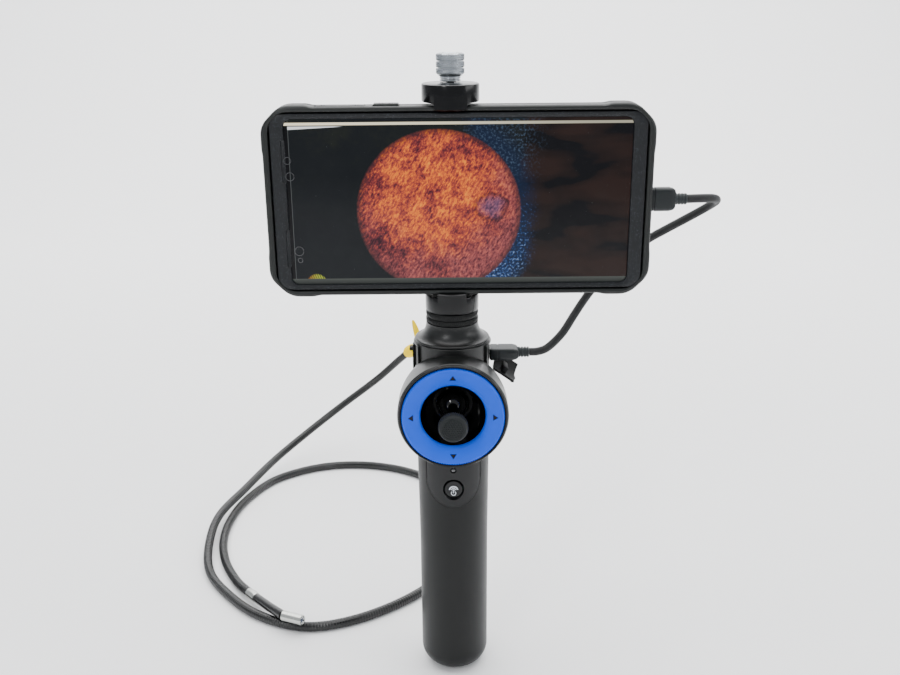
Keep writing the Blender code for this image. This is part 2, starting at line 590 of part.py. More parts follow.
def build_probe():
    cord("insertion_tube", TUBE_ROUTE, TUBE_R, 80, TUBE, 2)
    line = smooth_route(TUBE_ROUTE, 400)
    spot = min(range(400), key=lambda i: (line[i] - TAG_PLACE).length)
    bore = TUBE_R + 2 * GAP
    turned("tube_tag", [(bore, -4), (4.1, -4), (4.5, -2), (4.5, 2), (4.1, 4), (bore, 4)],
           YELLOW, line[spot], line[spot + 3] - line[spot - 3], 20)
    length = (FERRULE_END - FERRULE_START).length
    turned("tip_ferrule", [(0, 0), (TIP_R - 0.2, 0), (TIP_R, 0.3), (TIP_R, length - 0.3),
                           (TIP_R - 0.2, length), (0, length)], STEEL,
           FERRULE_START, FERRULE_END - FERRULE_START, 20)
    link("bend_link_root", FERRULE_END, YAW_PIVOT, False, True, RUBBER)
    middle = link("bend_link_middle", YAW_PIVOT, PITCH_PIVOT, True, True, RUBBER)
    end = link("bend_link_end", PITCH_PIVOT, TIP_START, True, False, RUBBER)
    reach = (TIP_END - TIP_START).length
    housing = turned("tip_housing", [(0, 0), (TIP_R - 0.2, 0), (TIP_R, 0.3), (TIP_R, reach - 0.4),
                                     (TIP_R - 0.3, reach), (2.2, reach), (2.2, reach - 1.6),
                                     (0, reach - 1.6)], STEEL, TIP_START, TIP_END - TIP_START, 24)
    leds = turned("light_ring", [(1.3, reach - 1.3), (1.95, reach - 1.3), (1.95, reach - 0.2),
                                 (1.3, reach - 0.2)], CLEAR, TIP_START, TIP_END - TIP_START, 20)
    lens = turned("camera_lens", [(0, reach - 1.3), (1.05, reach - 1.3), (1.05, reach - 0.4),
                                  (0, reach - 0.1)], CLEAR, TIP_START, TIP_END - TIP_START, 16)
    return middle, [end, housing, leds, lens]


clear_scene()
SATIN = material("satin_black", (0.035, 0.038, 0.038), 0.42)
GLOSS = material("gloss_black", (0.012, 0.013, 0.014), 0.12)
RUBBER = material("black_rubber", (0.02, 0.021, 0.022), 0.6)
ANODISED = material("black_anodised", (0.014, 0.015, 0.016), 0.3, 0.6)
STEEL = material("bright_steel", (0.6, 0.62, 0.64), 0.25, 1.0)
BRASS = material("brass", (0.7, 0.5, 0.22), 0.3, 1.0)
BLUE = material("ring_blue", (0.0, 0.14, 0.72), 0.35)
CLEAR = material("clear_cover", (0.03, 0.035, 0.04), 0.06)
BOARD = material("circuit_board", (0.02, 0.12, 0.06), 0.5)
CELL = material("cell_wrap", (0.05, 0.18, 0.3), 0.4)
TUBE = material("tube_black", (0.025, 0.026, 0.026), 0.45)
BRAID = material("lead_black", (0.02, 0.02, 0.022), 0.6)
PLUG = material("plug_grey", (0.045, 0.05, 0.052), 0.5)
YELLOW = material("tag_yellow", (0.85, 0.72, 0.01), 0.45)
CUTTER = material("cutter", (1, 0, 0), 0.5)

power_button = build_grip()
direction_ring, gimbal_ring, joystick, thumb_cap, wire_plate = build_head()
cover_left, cover_right = build_ports()
lock_ring, holder_pieces, upper_jaw, knob_pieces = build_holder()
phone_pieces, key_covers = build_phone()
phone_plug, handle_plug_pieces, usb_lead = build_leads()
middle_link, tip_pieces = build_probe()

pivot("power_button_axis", (0, -14.2, BUTTON_Z), power_button)
pivot("ring_axis", (0, DRUM_FRONT, DRUM_Z), direction_ring)
pivot("gimbal_axis", (0, BALL_Y, DRUM_Z), gimbal_ring)
pivot("joystick_axis", (0, BALL_Y, DRUM_Z), joystick, thumb_cap, wire_plate)
pivot("left_cover_hinge", (-HEAD_R - 1.3, PORT_Y, PORT_Z - 6.2), cover_left)
pivot("right_cover_hinge", (HEAD_R + 1.3, PORT_Y, PORT_Z - 6.2), cover_right)
pivot("lock_ring_axis", (0, 0, NECK_TOP), lock_ring)
pivot("swivel_axis", (0, 0, NECK_TOP), *holder_pieces, *phone_pieces, *phone_plug)
pivot("upper_jaw_slide", (0, SCREW_Y, JAW_UP_Z), upper_jaw)
pivot("knob_axis", (0, SCREW_Y, JAW_UP_Z), *knob_pieces)
pivot("tip_yaw_axis", YAW_PIVOT, middle_link)
pivot("tip_pitch_axis", PITCH_PIVOT, *tip_pieces)
for key in key_covers:
    pivot(key.name + "_slide", (0, 0, 0), key)
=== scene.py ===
"""Looks of the handheld inspection camera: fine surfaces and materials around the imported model.

Lengths in this script are millimetres unless a name ends in _m; meshes are scaled once, at the end.
"""
from math import cos, hypot, pi, radians, sin, sqrt, tau

import bmesh
import bpy
from mathutils import Matrix, Vector


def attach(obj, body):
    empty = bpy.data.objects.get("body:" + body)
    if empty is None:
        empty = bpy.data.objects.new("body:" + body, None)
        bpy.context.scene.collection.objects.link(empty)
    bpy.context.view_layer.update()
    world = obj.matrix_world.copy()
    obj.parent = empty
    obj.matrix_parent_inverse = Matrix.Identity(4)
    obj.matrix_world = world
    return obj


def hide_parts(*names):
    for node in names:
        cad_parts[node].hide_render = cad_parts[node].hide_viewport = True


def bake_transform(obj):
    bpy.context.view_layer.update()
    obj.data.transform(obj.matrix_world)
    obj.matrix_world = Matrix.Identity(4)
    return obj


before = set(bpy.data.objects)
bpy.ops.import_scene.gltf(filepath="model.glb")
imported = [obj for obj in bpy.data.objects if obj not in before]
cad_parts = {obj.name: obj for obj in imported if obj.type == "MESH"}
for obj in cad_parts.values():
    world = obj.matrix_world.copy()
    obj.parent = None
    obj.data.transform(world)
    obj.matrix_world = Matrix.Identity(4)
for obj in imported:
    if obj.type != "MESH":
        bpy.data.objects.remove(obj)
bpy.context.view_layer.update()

MM = 0.001
ON_AXIS = 1e-6
ROUTE_STEPS = 24

# Sizes that follow the design
GAP, SPLIT_GAP = 0.3, 0.2
GRIP_R, GRIP_TOP_R, GRIP_TOP, FOOT_FILLET = 17.2, 17.8, 125.8, 9.5
HEAD_R, HEAD_TOP = 17.8, 181.0
DRUM_Z, DRUM_R, DRUM_FRONT, DRUM_BACK = 152.3, 26.0, -29.0, 9.0
SHOULDER_R, SHOULDER_FRONT = 10.0, -19.0
RING_R, RING_HOLE_R = 24.0, 15.2
BALL_DEPTH, BALL_R = 12.0, 6.8
PANEL_HALF, PANEL_ROUND_Z, BUTTON_Z, BUTTON_R = 13.0, 112.0, 108.5, 4.5
PORT_Y, PORT_Z, EXIT_Z = 5.5, 171.5, 170.0
NECK_TOP, JAW_UP_Z, SCREW_Y = 190.0, 292.3, 7.8
PHONE_X, PHONE_Z, CASE_W, CASE_H, PLUG_Y = 3.5, 248.2, 175.5, 87.5, -3.2
TUBE_R, TIP_R, LEAD_R = 2.75, 2.9, 2.0
YAW_PIVOT = Vector((-109.3, 40.3, 6.0))
PITCH_PIVOT = Vector((-101.5, 30.8, 7.6))
TIP_START, TIP_END = Vector((-96.2, 25.0, 8.5)), Vector((-84.4, 19.8, 8.8))
FERRULE_START, FERRULE_END = Vector((-121.0, 54.2, 4.4)), Vector((-115.4, 47.6, 5.1))
TAG_PLACE = Vector((-31.0, 251.5, 83.5))
TUBE_ROUTE = [
    (0, 50.4, 170), (0, 80, 170.5), (-1, 120, 168), (-4, 160, 158), (-8, 203, 134),
    (-14, 236, 100), (-34, 254, 81), (-57, 262, 58), (-84, 259, 38), (-109, 243, 23),
    (-131, 215, 13), (-146, 178, 8.8), (-156.5, 140, 8.4), (-156.5, 108, 5.6), (-150, 80, 3),
    (-134.5, 56, 2.8), (-112, 34, 2.8), (-84, 22.5, 2.8), (-56, 29, 2.8), (-28, 48, 2.8),
    (-8, 72, 2.8), (6, 103, 2.8), (9, 138, 2.8), (2, 172, 2.8), (-13, 197, 2.8),
    (-33, 214, 2.8), (-54, 223, 2.8), (-75, 226, 2.8), (-95, 223.5, 2.8), (-114, 215, 2.8),
    (-132, 199, 2.8), (-145.5, 170, 2.8), (-150.3, 141, 2.8), (-149, 115, 2.8),
    (-142.5, 91, 2.8), (-131.5, 69, 3.2), (-121.3, 54.6, 4.3),
]
LEAD_ROUTE = [
    (107.6, -3.2, 248.2), (114.5, -2.9, 248.3), (120.6, 0.2, 247.6), (123.6, 6.4, 245.2),
    (121.2, 12.8, 241), (113.6, 16.2, 235.4), (104, 17.6, 229.6), (94, 18, 223.6),
    (83.5, 17.6, 215.6), (74, 16.4, 206.6), (66.4, 14.4, 197.6), (60, 11.8, 188.6),
    (54, 8.8, 180), (47, 6.4, 173.6), (42, 5.6, 171.7), (37.7, 5.5, 171.5),
]


# ---- camera, floor and light

def aim(direction):
    """The turn that takes +Z to a direction."""
    return Vector((0, 0, 1)).rotation_difference(Vector(direction).normalized()).to_matrix().to_4x4()


def build_camera():
    """A normal lens a little above the screen, looking down at the control."""
    tilt, roll = 19.0, -0.5
    camera = bpy.data.cameras.new("camera")
    camera.sensor_width = 36.0
    camera.lens = 40.0
    camera.clip_start = 0.01
    obj = bpy.data.objects.new("camera", camera)
    bpy.context.scene.collection.objects.link(obj)
    look = Matrix.Rotation(radians(90.0 - tilt), 4, "X") @ Matrix.Rotation(radians(roll), 4, "Z")
    obj.matrix_world = Matrix.Translation(Vector((-1.1, -455.0, 337.8)) * MM) @ look
    bpy.context.scene.camera = obj


def area_light(name, place, target, size, power):
    """A rectangular lamp; place, target and size are in metres."""
    light = bpy.data.lights.new(name, "AREA")
    light.shape = "RECTANGLE"
    light.size, light.size_y = size
    light.energy = power
    obj = bpy.data.objects.new(name, light)
    bpy.context.scene.collection.objects.link(obj)
    place, target = Vector(place), Vector(target)
    obj.matrix_world = Matrix.Translation(place) @ aim(place - target)


class Graph:
    """Wraps a node tree, so that its values add up like numbers."""

    def __init__(self, tree):
        self.tree = tree

    def put(self, socket, value):
        if isinstance(value, Value):
            self.tree.links.new(value.socket, socket)
        elif isinstance(value, tuple) and socket.type == "RGBA" and len(value) == 3:
            socket.default_value = (*value, 1.0)
        else:
            socket.default_value = value

    def node(self, kind, output=0, settings=None, **inputs):
        """A new node with its inputs set or linked by name; gives one of its outputs back."""
        made = self.tree.nodes.new(kind)
        for key, value in (settings or {}).items():
            setattr(made, key, value)
        for key, value in inputs.items():
            self.put(made.inputs[key], value)
        return Value(self, made.outputs[output])


class Shade(Graph):
    """A material and its Principled surface."""

    def __init__(self, name):
        self.material = bpy.data.materials.new(name)
        self.material.use_nodes = True
        super().__init__(self.material.node_tree)
        self.shader = self.tree.nodes["Principled BSDF"]

    def place(self):
        return self.node("ShaderNodeTexCoord", "Object")

    def noise(self, scale, detail=2.0, roughness=0.5, vector=None, distortion=0.0):
        return self.node("ShaderNodeTexNoise", Vector=vector or self.place(), Scale=scale, Detail=detail,
            Roughness=roughness, Distortion=distortion)

    def ramp(self, value, *stops):
        """Colours read off a scale of (place, colour) stops."""
        made = self.node("ShaderNodeValToRGB", Fac=value)
        elements = made.socket.node.color_ramp.elements
        elements.remove(elements[-1])
        for i, (place, color) in enumerate(stops):
            element = elements.new(place) if i else elements[0]
            element.position = place
            element.color = (*color, 1.0)
        return made

    def mix(self, factor, a, b):
        """Colour a where factor is 0, colour b where it is 1."""
        made = self.tree.nodes.new("ShaderNodeMix")
        made.data_type = "RGBA"
        sockets = {s.identifier: s for s in made.inputs}
        self.put(sockets["Factor_Float"], factor)
        self.put(sockets["A_Color"], a)
        self.put(sockets["B_Color"], b)
        result = next(s for s in made.outputs if s.identifier == "Result_Color")
        return Value(self, result)

    def bump(self, height, strength, distance):
        return self.node("ShaderNodeBump", Height=height, Strength=strength, Distance=distance)

    def finish(self, **sockets):
        """Set or link the surface's own sockets and give the material back."""
        for key, value in sockets.items():
            self.put(self.shader.inputs[key.replace("_", " ")], value)
        return self.material


def math_method(operation, swapped=False):
    """A method that adds one Math node to its value's graph."""
    def method(self, *others):
        result = self.graph.node("ShaderNodeMath", settings={"operation": operation})
        operands = (*others, self) if swapped else (self, *others)
        for socket, value in zip(result.socket.node.inputs, operands):
            self.graph.put(socket, value)
        return result
    return method


class Value:
    """One output socket; arithmetic on it adds Math nodes."""

    def __init__(self, graph, socket):
        self.graph = graph
        self.socket = socket

    __add__ = math_method("ADD")
    __sub__ = math_method("SUBTRACT")
    __rsub__ = math_method("SUBTRACT", swapped=True)
    __mul__ = math_method("MULTIPLY")
    __truediv__ = math_method("DIVIDE")
    __mod__ = math_method("MODULO")
    __pow__ = math_method("POWER")
    floor = math_method("FLOOR")
    root = math_method("SQRT")
    sine = math_method("SINE")
    cosine = math_method("COSINE")
    size = math_method("ABSOLUTE")

    def soft(self, low, high):
        """0 below low, 1 above high, smooth between."""
        result = self.graph.node("ShaderNodeMapRange", settings={"interpolation_type": "SMOOTHSTEP"})
        for socket, value in zip(result.socket.node.inputs, (self, low, high, 0.0, 1.0)):
            self.graph.put(socket, value)
        return result

    def xyz(self):
        made = self.graph.node("ShaderNodeSeparateXYZ", Vector=self)
        return [Value(self.graph, socket) for socket in made.socket.node.outputs]


# ---- finishes

def grained(name, color, rough, grain, depth, spread=0.25, shine=0.28):
    """Moulded or coated surface: fine grain, faint cloudy tone and uneven gloss."""
    s = Shade(name)
    cloud = s.noise(38.0, 4.0, 0.6)
    fine = s.noise(grain, 3.0, 0.6)
    tone = s.mix(cloud, tuple(c * (1 - spread) for c in color), tuple(c * (1 + spread) for c in color))
    gloss = (cloud - 0.5) * 0.16 + (fine - 0.5) * 0.1 + rough
    return s.finish(Base_Color=tone, Roughness=gloss, Specular_IOR_Level=shine,
        Normal=s.bump(fine, depth, 0.00012))


def turned_metal(name, color, rough, centre, along="Z", lines=2600.0):
    """Lathe-turned metal: fine rings round its axis."""
    s = Shade(name)
    moved = s.node("ShaderNodeMapping", Vector=s.place(), Location=tuple(-c * MM for c in centre))
    x, y, z = moved.xyz()
    run = {"X": x, "Y": y, "Z": z}[along]
    lathe = s.node("ShaderNodeCombineXYZ", X=run * lines, Y=0.3, Z=0.7)
    streak = s.noise(1.0, 3.0, 0.7, vector=lathe)
    smear = s.noise(120.0, 4.0)
    tone = s.mix(smear, tuple(c * 0.86 for c in color), color)
    gloss = (streak - 0.5) * 0.18 + (smear - 0.5) * 0.1 + rough
    return s.finish(Base_Color=tone, Metallic=1.0, Roughness=gloss, Normal=s.bump(streak, 0.18, 0.00005))


def plain_glass(name, tint):
    """Clear-coated glass or gloss cover with a faint smear."""
    s = Shade(name)
    smear = s.noise(45.0, 4.0, 0.65)
    tone = s.mix(smear, tint, tuple(c * 1.4 for c in tint))
    gloss = (smear - 0.4) * 0.08 + 0.03
    return s.finish(Base_Color=tone, Roughness=gloss, Coat_Weight=1.0, Coat_Roughness=0.02)


def blue_plastic():
    """Saturated blue moulding with a fine satin grain."""
    s = Shade("ring_blue")
    cloud = s.noise(60.0, 3.0)
    fine = s.noise(1400.0, 3.0)
    tone = s.mix(cloud, (0.0, 0.066, 0.62), (0.0, 0.086, 0.76))
    return s.finish(Base_Color=tone, Roughness=(fine - 0.5) * 0.12 + 0.34, Specular_IOR_Level=0.22,
        Normal=s.bump(fine, 0.12, 0.0001))


def glitter_frame():
    """Hard frame of the case: near black with fine sparkling flakes."""
    s = Shade("case_flake")
    cells = s.node("ShaderNodeTexVoronoi", "Distance", Vector=s.place(), Scale=2600.0)
    flake = (1.0 - cells.soft(0.0, 0.35)) * s.noise(900.0, 2.0).soft(0.48, 0.62)
    tone = s.mix(flake, (0.0050, 0.0060, 0.0075), (0.12, 0.14, 0.16))
    return s.finish(Base_Color=tone, Roughness=0.42 - flake * 0.2, Specular_IOR_Level=0.3,
        Normal=s.bump(cells, 0.35, 0.0001))


def braided():
    """Black braid: two sets of strands round the lead, read from its own UV."""
    s = Shade("lead_braid")
    uv = s.node("ShaderNodeUVMap", settings={"uv_map": "run"})
    u, v, _ = uv.xyz()
    one = ((u + v) * tau).sine()
    two = ((u - v) * tau).sine()
    weave = (one * two).size() ** 0.5
    tone = s.mix(weave, (0.0015, 0.0015, 0.002), (0.012, 0.013, 0.014))
    return s.finish(Base_Color=tone, Specular_IOR_Level=0.35, Roughness=0.62 - weave * 0.2,
        Normal=s.bump(weave, 0.8, 0.0002))


def screen_picture():
    """A lit screen: a round look into a rusty bore and a shadowed right side, with a dark margin at the
    left that is a painted shadow, and painted highlights along the protector's left and top edges.
    """
    s = Shade("screen_picture")
    place = s.place()
    x, _, z = place.xyz()
    cx, cz, radius = -0.0056, 0.2440, 0.0372
    away = ((x - cx) ** 2.0 + (z - cz) ** 2.0).root()
    inside = 1.0 - away.soft(radius - 0.0006, radius + 0.0004)
    flat = s.node("ShaderNodeCombineXYZ", X=x, Z=z)
    slant = s.node("ShaderNodeCombineXYZ", X=(x * 0.50 + z * 0.87) * 420.0, Z=(x * 0.87 - z * 0.50) * 950.0)
    wide = s.node("ShaderNodeCombineXYZ", X=x * 30.0, Z=z * 85.0)
    big = s.noise(48.0, 5.0, 0.60, vector=flat, distortion=0.3)
    mid = s.noise(170.0, 6.0, 0.65, vector=flat)
    fine = s.noise(1.0, 6.0, 0.75, vector=slant)
    dots = s.noise(900.0, 3.0, 0.6, vector=flat)

    heat = (fine - 0.5) * 1.45 + (big - 0.5) * 0.8 + (mid - 0.5) * 0.8 + 0.60 - away * 7.0 + (z - cz) * 2.6
    rust = s.ramp(heat, (0.18, (0.030, 0.006, 0.012)), (0.34, (0.13, 0.020, 0.026)),
        (0.46, (0.34, 0.052, 0.034)), (0.58, (0.66, 0.120, 0.022)), (0.70, (0.95, 0.230, 0.010)),
        (0.84, (1.0, 0.42, 0.035)))
    plum = s.mix(fine.soft(0.35, 0.68), (0.065, 0.010, 0.020), (0.46, 0.115, 0.105))
    low_side = away * 22.0 - (z - cz) * 13.0 + (x - cx) * 7.0 + (big - 0.5) * 2.4
    bore = s.mix(low_side.soft(0.40, 1.25) * 0.85, rust, plum)
    bore = s.mix(fine.soft(0.66, 0.80) * 0.55, bore, (1.0, 0.62, 0.50))
    pit = (((x - 0.0180) * 0.85) ** 2.0 + (z - 0.2462) ** 2.0).root() + (mid - 0.5) * 0.006
    scale = s.mix(fine.soft(0.3, 0.7), (0.012, 0.008, 0.030), (0.20, 0.13, 0.26))
    bore = s.mix((1.0 - pit.soft(0.0020, 0.0070)) * 0.62, bore, scale)
    rim = pit.soft(0.0045, 0.0060) * (1.0 - pit.soft(0.0060, 0.0075))
    bore = s.mix(rim * 0.5, bore, (0.030, 0.008, 0.012))
    bore = s.mix(away.soft(radius - 0.004, radius) * 0.75, bore, (0.035, 0.012, 0.014))

    left = s.mix(big, (0.0022, 0.0034, 0.0045), (0.0060, 0.0080, 0.0085))
    haze = (big * 0.6 + mid * 0.4 + (z - 0.25) * 3.0).soft(0.55, 0.75)
    left = s.mix(haze * 0.6, left, (0.011, 0.013, 0.007))
    blobs = s.noise(1.0, 2.0, 0.45, vector=wide, distortion=0.2)
    brown = s.ramp(blobs, (0.42, (0.0008, 0.0008, 0.0012)), (0.46, (0.0080, 0.0038, 0.0024)),
        (0.62, (0.0170, 0.0078, 0.0050)))
    ragged = x + (mid - 0.5) * 0.010 + (big - 0.5) * 0.012
    back = s.mix(ragged.soft(0.0310, 0.0350), left, brown)
    apart = away - radius
    near = (1.0 - apart.soft(0.0030, 0.0130)) * x.soft(0.004, 0.014) * (1.0 - ragged.soft(0.0320, 0.0420))
    low = (cz - z) * 9.0
    speck = (dots + low * 0.55).soft(0.50, 0.80) * near
    back = s.mix(near * 0.8, back, (0.0025, 0.010, 0.034))
    blues = s.mix((dots + low * 0.3).soft(0.60, 0.85), (0.006, 0.045, 0.18), (0.42, 0.60, 0.92))
    back = s.mix(speck, back, blues)
    veil = z.soft(0.2540, 0.2680) * x.soft(0.0, 0.014) * (1.0 - ragged.soft(0.030, 0.044))
    back = s.mix(veil * dots.soft(0.46, 0.72) * 0.7, back, (0.050, 0.085, 0.14))
    dust = s.noise(1500.0, 2.0, 0.5, vector=flat).soft(0.735, 0.79)
    back = s.mix(dust * 0.6, back, (0.20, 0.22, 0.22))
    moss_away = ((x + 0.0625) ** 2.0 + ((z - 0.2085) * 0.8) ** 2.0).root()
    stripes = ((x + z * 0.4) * 6000.0).sine().soft(-0.4, 0.8)
    green = s.mix(stripes, (0.05, 0.09, 0.01), (0.42, 0.44, 0.03))
    moss = s.mix(x.soft(-0.0680, -0.0610), (0.20, 0.045, 0.004), green)
    back = s.mix(1.0 - moss_away.soft(0.0050, 0.0058), back, moss)
    picture = s.mix(inside, back, bore)

    # painted shadow: a black band at the screen's left edge stands in for the shade between the case frame
    # and the protector
    margin = 1.0 - x.soft(-0.0722, -0.0720)
    picture = s.mix(margin, picture, (0.0004, 0.0004, 0.0005))
    # painted highlight: a thin light line where the protector's left edge catches the light
    outline = x.soft(-0.0723, -0.0721) * (1.0 - x.soft(-0.0720, -0.0718))
    picture = s.mix(outline * 0.5, picture, (0.12, 0.13, 0.13))
    # painted highlights: a thin glint along the protector's top edge, bright and warm at the left and dim
    # at the right, and a light sliver just below it at the top left
    shine = z.soft(0.2830, 0.2833) * (1.0 - z.soft(0.2842, 0.2845))
    picture = s.mix(shine, picture, s.mix(x.soft(-0.06, 0.075), (1.0, 0.90, 0.66), (0.34, 0.32, 0.24)))
    glint_wedge = (z + (x + 0.072) * -0.05).soft(0.2812, 0.2814) * (1.0 - z.soft(0.2826, 0.2828))
    picture = s.mix(glint_wedge * (1.0 - x.soft(-0.052, -0.047)) * (1.0 - margin), picture, (0.80, 0.82, 0.84))
    sill = 1.0 - z.soft(0.2130, 0.2133)
    sill_tone = s.mix((z - 0.2104) * 300.0, (0.010, 0.012, 0.011), (0.060, 0.068, 0.060))
    picture = s.mix(sill, picture, sill_tone)
    smear = s.noise(60.0, 4.0, 0.6, vector=flat)
    glass = s.mix(smear, (0.003, 0.003, 0.004), (0.006, 0.006, 0.007))
    return s.finish(Base_Color=glass, Roughness=smear * 0.06 + 0.03, Specular_IOR_Level=0.12,
        Emission_Color=picture, Emission_Strength=1.35)


def led_light():
    """Small diffused lamps that glow a little."""
    s = Shade("led_glow")
    cells = s.noise(2500.0, 2.0)
    tone = s.mix(cells, (0.75, 0.80, 0.86), (0.95, 0.97, 1.0))
    return s.finish(Base_Color=tone, Roughness=cells * 0.1 + 0.2, Emission_Color=tone,
        Emission_Strength=0.6)


# ---- making pieces

def make(name, bm, finish, body, *replaced, smooth=35.0, seat=None):
    """Close, scale and place a millimetre mesh, then let it ride on its body."""
    bmesh.ops.remove_doubles(bm, verts=bm.verts, dist=0.0005)
    bmesh.ops.recalc_face_normals(bm, faces=bm.faces)
    mesh = bpy.data.meshes.new(name)
    bm.to_mesh(mesh)
    bm.free()
    mesh.transform(Matrix.Scale(MM, 4))
    mesh.shade_smooth()
    mesh.set_sharp_from_angle(angle=radians(smooth))
    mesh.materials.append(finish)
    obj = bpy.data.objects.new(name, mesh)
    bpy.context.scene.collection.objects.link(obj)
    if body:
        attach(obj, body)
    if replaced:
        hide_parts(*replaced)
    return obj


def rounded(profile, radius, steps=4, share=0.45):
    """Round an outline's corners with small arcs, except those on the axis."""
    result = []
    for i, corner in enumerate(profile):
        p = Vector(corner)
        if abs(p.x) < ON_AXIS:
            result.append(corner)
            continue
        a, b = Vector(profile[i - 1]), Vector(profile[(i + 1) % len(profile)])
        cut = min(radius, share * (a - p).length, share * (b - p).length)
        start, end = p + (a - p).normalized() * cut, p + (b - p).normalized() * cut
        for k in range(steps + 1):
            t = k / steps
            q = start.lerp(p, t).lerp(p.lerp(end, t), t)
            result.append((q.x, q.y))
    return result


def turned(profile, at=(0, 0, 0), along=(0, 0, 1), steps=96, soften=0.0):
    """Revolve a closed (radius, height) outline; radius 0 gives a pole."""
    if soften:
        profile = rounded(profile, soften)
    bm = bmesh.new()
    rings = []
    for radius, height in profile:
        if radius < ON_AXIS:
            rings.append([bm.verts.new((0, 0, height))])
            continue
        rings.append([bm.verts.new((radius * cos(tau * i / steps), radius * sin(tau * i / steps), height))
            for i in range(steps)])
    for a, b in zip(rings, rings[1:] + rings[:1]):
        if len(a) == 1 and len(b) == 1:
            continue
        for i in range(steps):
            j = (i + 1) % steps
            quad = dict.fromkeys([a[i % len(a)], a[j % len(a)], b[j % len(b)], b[i % len(b)]])
            bm.faces.new(list(quad))
    bm.transform(Matrix.Translation(at) @ aim(along))
    return bm


def rounded_outline(width, height, radius, steps):
    """The corner arcs of a rectangle about the origin."""
    points = []
    for quarter, (sx, sz) in enumerate(((1, 1), (-1, 1), (-1, -1), (1, -1))):
        cx, cz = sx * (width / 2 - radius), sz * (height / 2 - radius)
        for i in range(steps + 1):
            angle = pi / 2 * (quarter + i / steps)
            points.append((cx + radius * cos(angle), cz + radius * sin(angle)))
    return points


def lofted(loops, ring=False):
    """Skin equal loops of points; ring joins the last loop back to the first."""
    bm = bmesh.new()
    made = [[bm.verts.new(p) for p in loop] for loop in loops]
    for a, b in zip(made, made[1:] + (made[:1] if ring else [])):
        for i in range(len(a)):
            j = (i + 1) % len(a)
            bm.faces.new((a[i], a[j], b[j], b[i]))
    if not ring:
        bm.faces.new(made[0])
        bm.faces.new(reversed(made[-1]))
    return bm


def plate(levels, centre, steps=10, ring=False):
    """Rounded rectangles (y, width, height, corner radius) skinned front to back."""
    loops = [[(centre[0] + x, y, centre[1] + z) for x, z in rounded_outline(w, h, r, steps)] for y, w, h,
        r in levels]
    return lofted(loops, ring=ring)


def block(low, high, bevel=0.0, segments=3):
    """A box between two corners, its edges rounded by the bevel."""
    bm = bmesh.new()
    bmesh.ops.create_cube(bm, size=1.0)
    low, high = Vector(low), Vector(high)
    bm.transform(Matrix.Translation((low + high) / 2) @ Matrix.Diagonal((*(high - low), 1)))
    if bevel:
        bmesh.ops.bevel(bm, geom=list(bm.edges), offset=bevel, segments=segments, profile=0.5,
            affect="EDGES")
    return bm


def joined(*parts):
    """Several closed shells as one mesh."""
    bm = bmesh.new()
    for part in parts:
        mesh = bpy.data.meshes.new("part")
        part.to_mesh(mesh)
        bm.from_mesh(mesh)
        part.free()
        bpy.data.meshes.remove(mesh)
    return bm


def carved(bm, *cuts, operation="DIFFERENCE", solver="EXACT"):
    """Cut closed shells out of one another, or join them, and give the result back."""
    base = solid_object(bm)
    for cut in cuts:
        other = solid_object(cut)
        mod = base.modifiers.new("cut", "BOOLEAN")
        mod.operation, mod.solver, mod.object = operation, solver, other
        graph = bpy.context.evaluated_depsgraph_get()
        mesh = bpy.data.meshes.new_from_object(base.evaluated_get(graph))
        base.modifiers.clear()
        base.data = mesh
        bpy.data.objects.remove(other, do_unlink=True)
    result = bmesh.new()
    result.from_mesh(base.data)
    bpy.data.objects.remove(base, do_unlink=True)
    return result


def solid_object(bm):
    """A bmesh as an object of its own, for a modifier to work on."""
    bmesh.ops.recalc_face_normals(bm, faces=bm.faces)
    mesh = bpy.data.meshes.new("solid")
    bm.to_mesh(mesh)
    bm.free()
    obj = bpy.data.objects.new("solid", mesh)
    bpy.context.scene.collection.objects.link(obj)
    return obj


def smooth_route(points, spacing):
    """Even points along a Catmull-Rom curve through the route's own points."""
    pts = [Vector(p) for p in points]
    pts = [2 * pts[0] - pts[1], *pts, 2 * pts[-1] - pts[-2]]
    dense = []
    for a, b, c, d in zip(pts, pts[1:], pts[2:], pts[3:]):
        for i in range(ROUTE_STEPS):
            t = i / ROUTE_STEPS
            square, cube = 2 * a - 5 * b + 4 * c - d, 3 * b - a - 3 * c + d
            dense.append(0.5 * (2 * b + (c - a) * t + square * t ** 2 + cube * t ** 3))
    dense.append(pts[-2])
    runs = [0.0]
    for a, b in zip(dense, dense[1:]):
        runs.append(runs[-1] + (b - a).length)
    count = max(2, round(runs[-1] / spacing) + 1)
    result, k = [], 0
    for i in range(count):
        goal = runs[-1] * i / (count - 1)
        while k < len(runs) - 2 and runs[k + 1] < goal:
            k += 1
        result.append(dense[k].lerp(dense[k + 1], min(1.0, (goal - runs[k]) / (runs[k + 1] - runs[k]))))
    return result, runs[-1]


def swept(line, radii, sides):
    """A tube through the points, its frame carried along without twisting."""
    loops, side = [], None
    for i, point in enumerate(line):
        ahead = (line[min(i + 1, len(line) - 1)] - line[max(i - 1, 0)]).normalized()
        if side is None:
            side = ahead.orthogonal().normalized()
        side = (side - ahead * side.dot(ahead)).normalized()
        up = ahead.cross(side)
        loops.append([point + (side * cos(tau * k / sides) + up * sin(tau * k / sides)) * radii[i]
            for k in range(sides)])
    return loops


# ---- repeats by Geometry Nodes

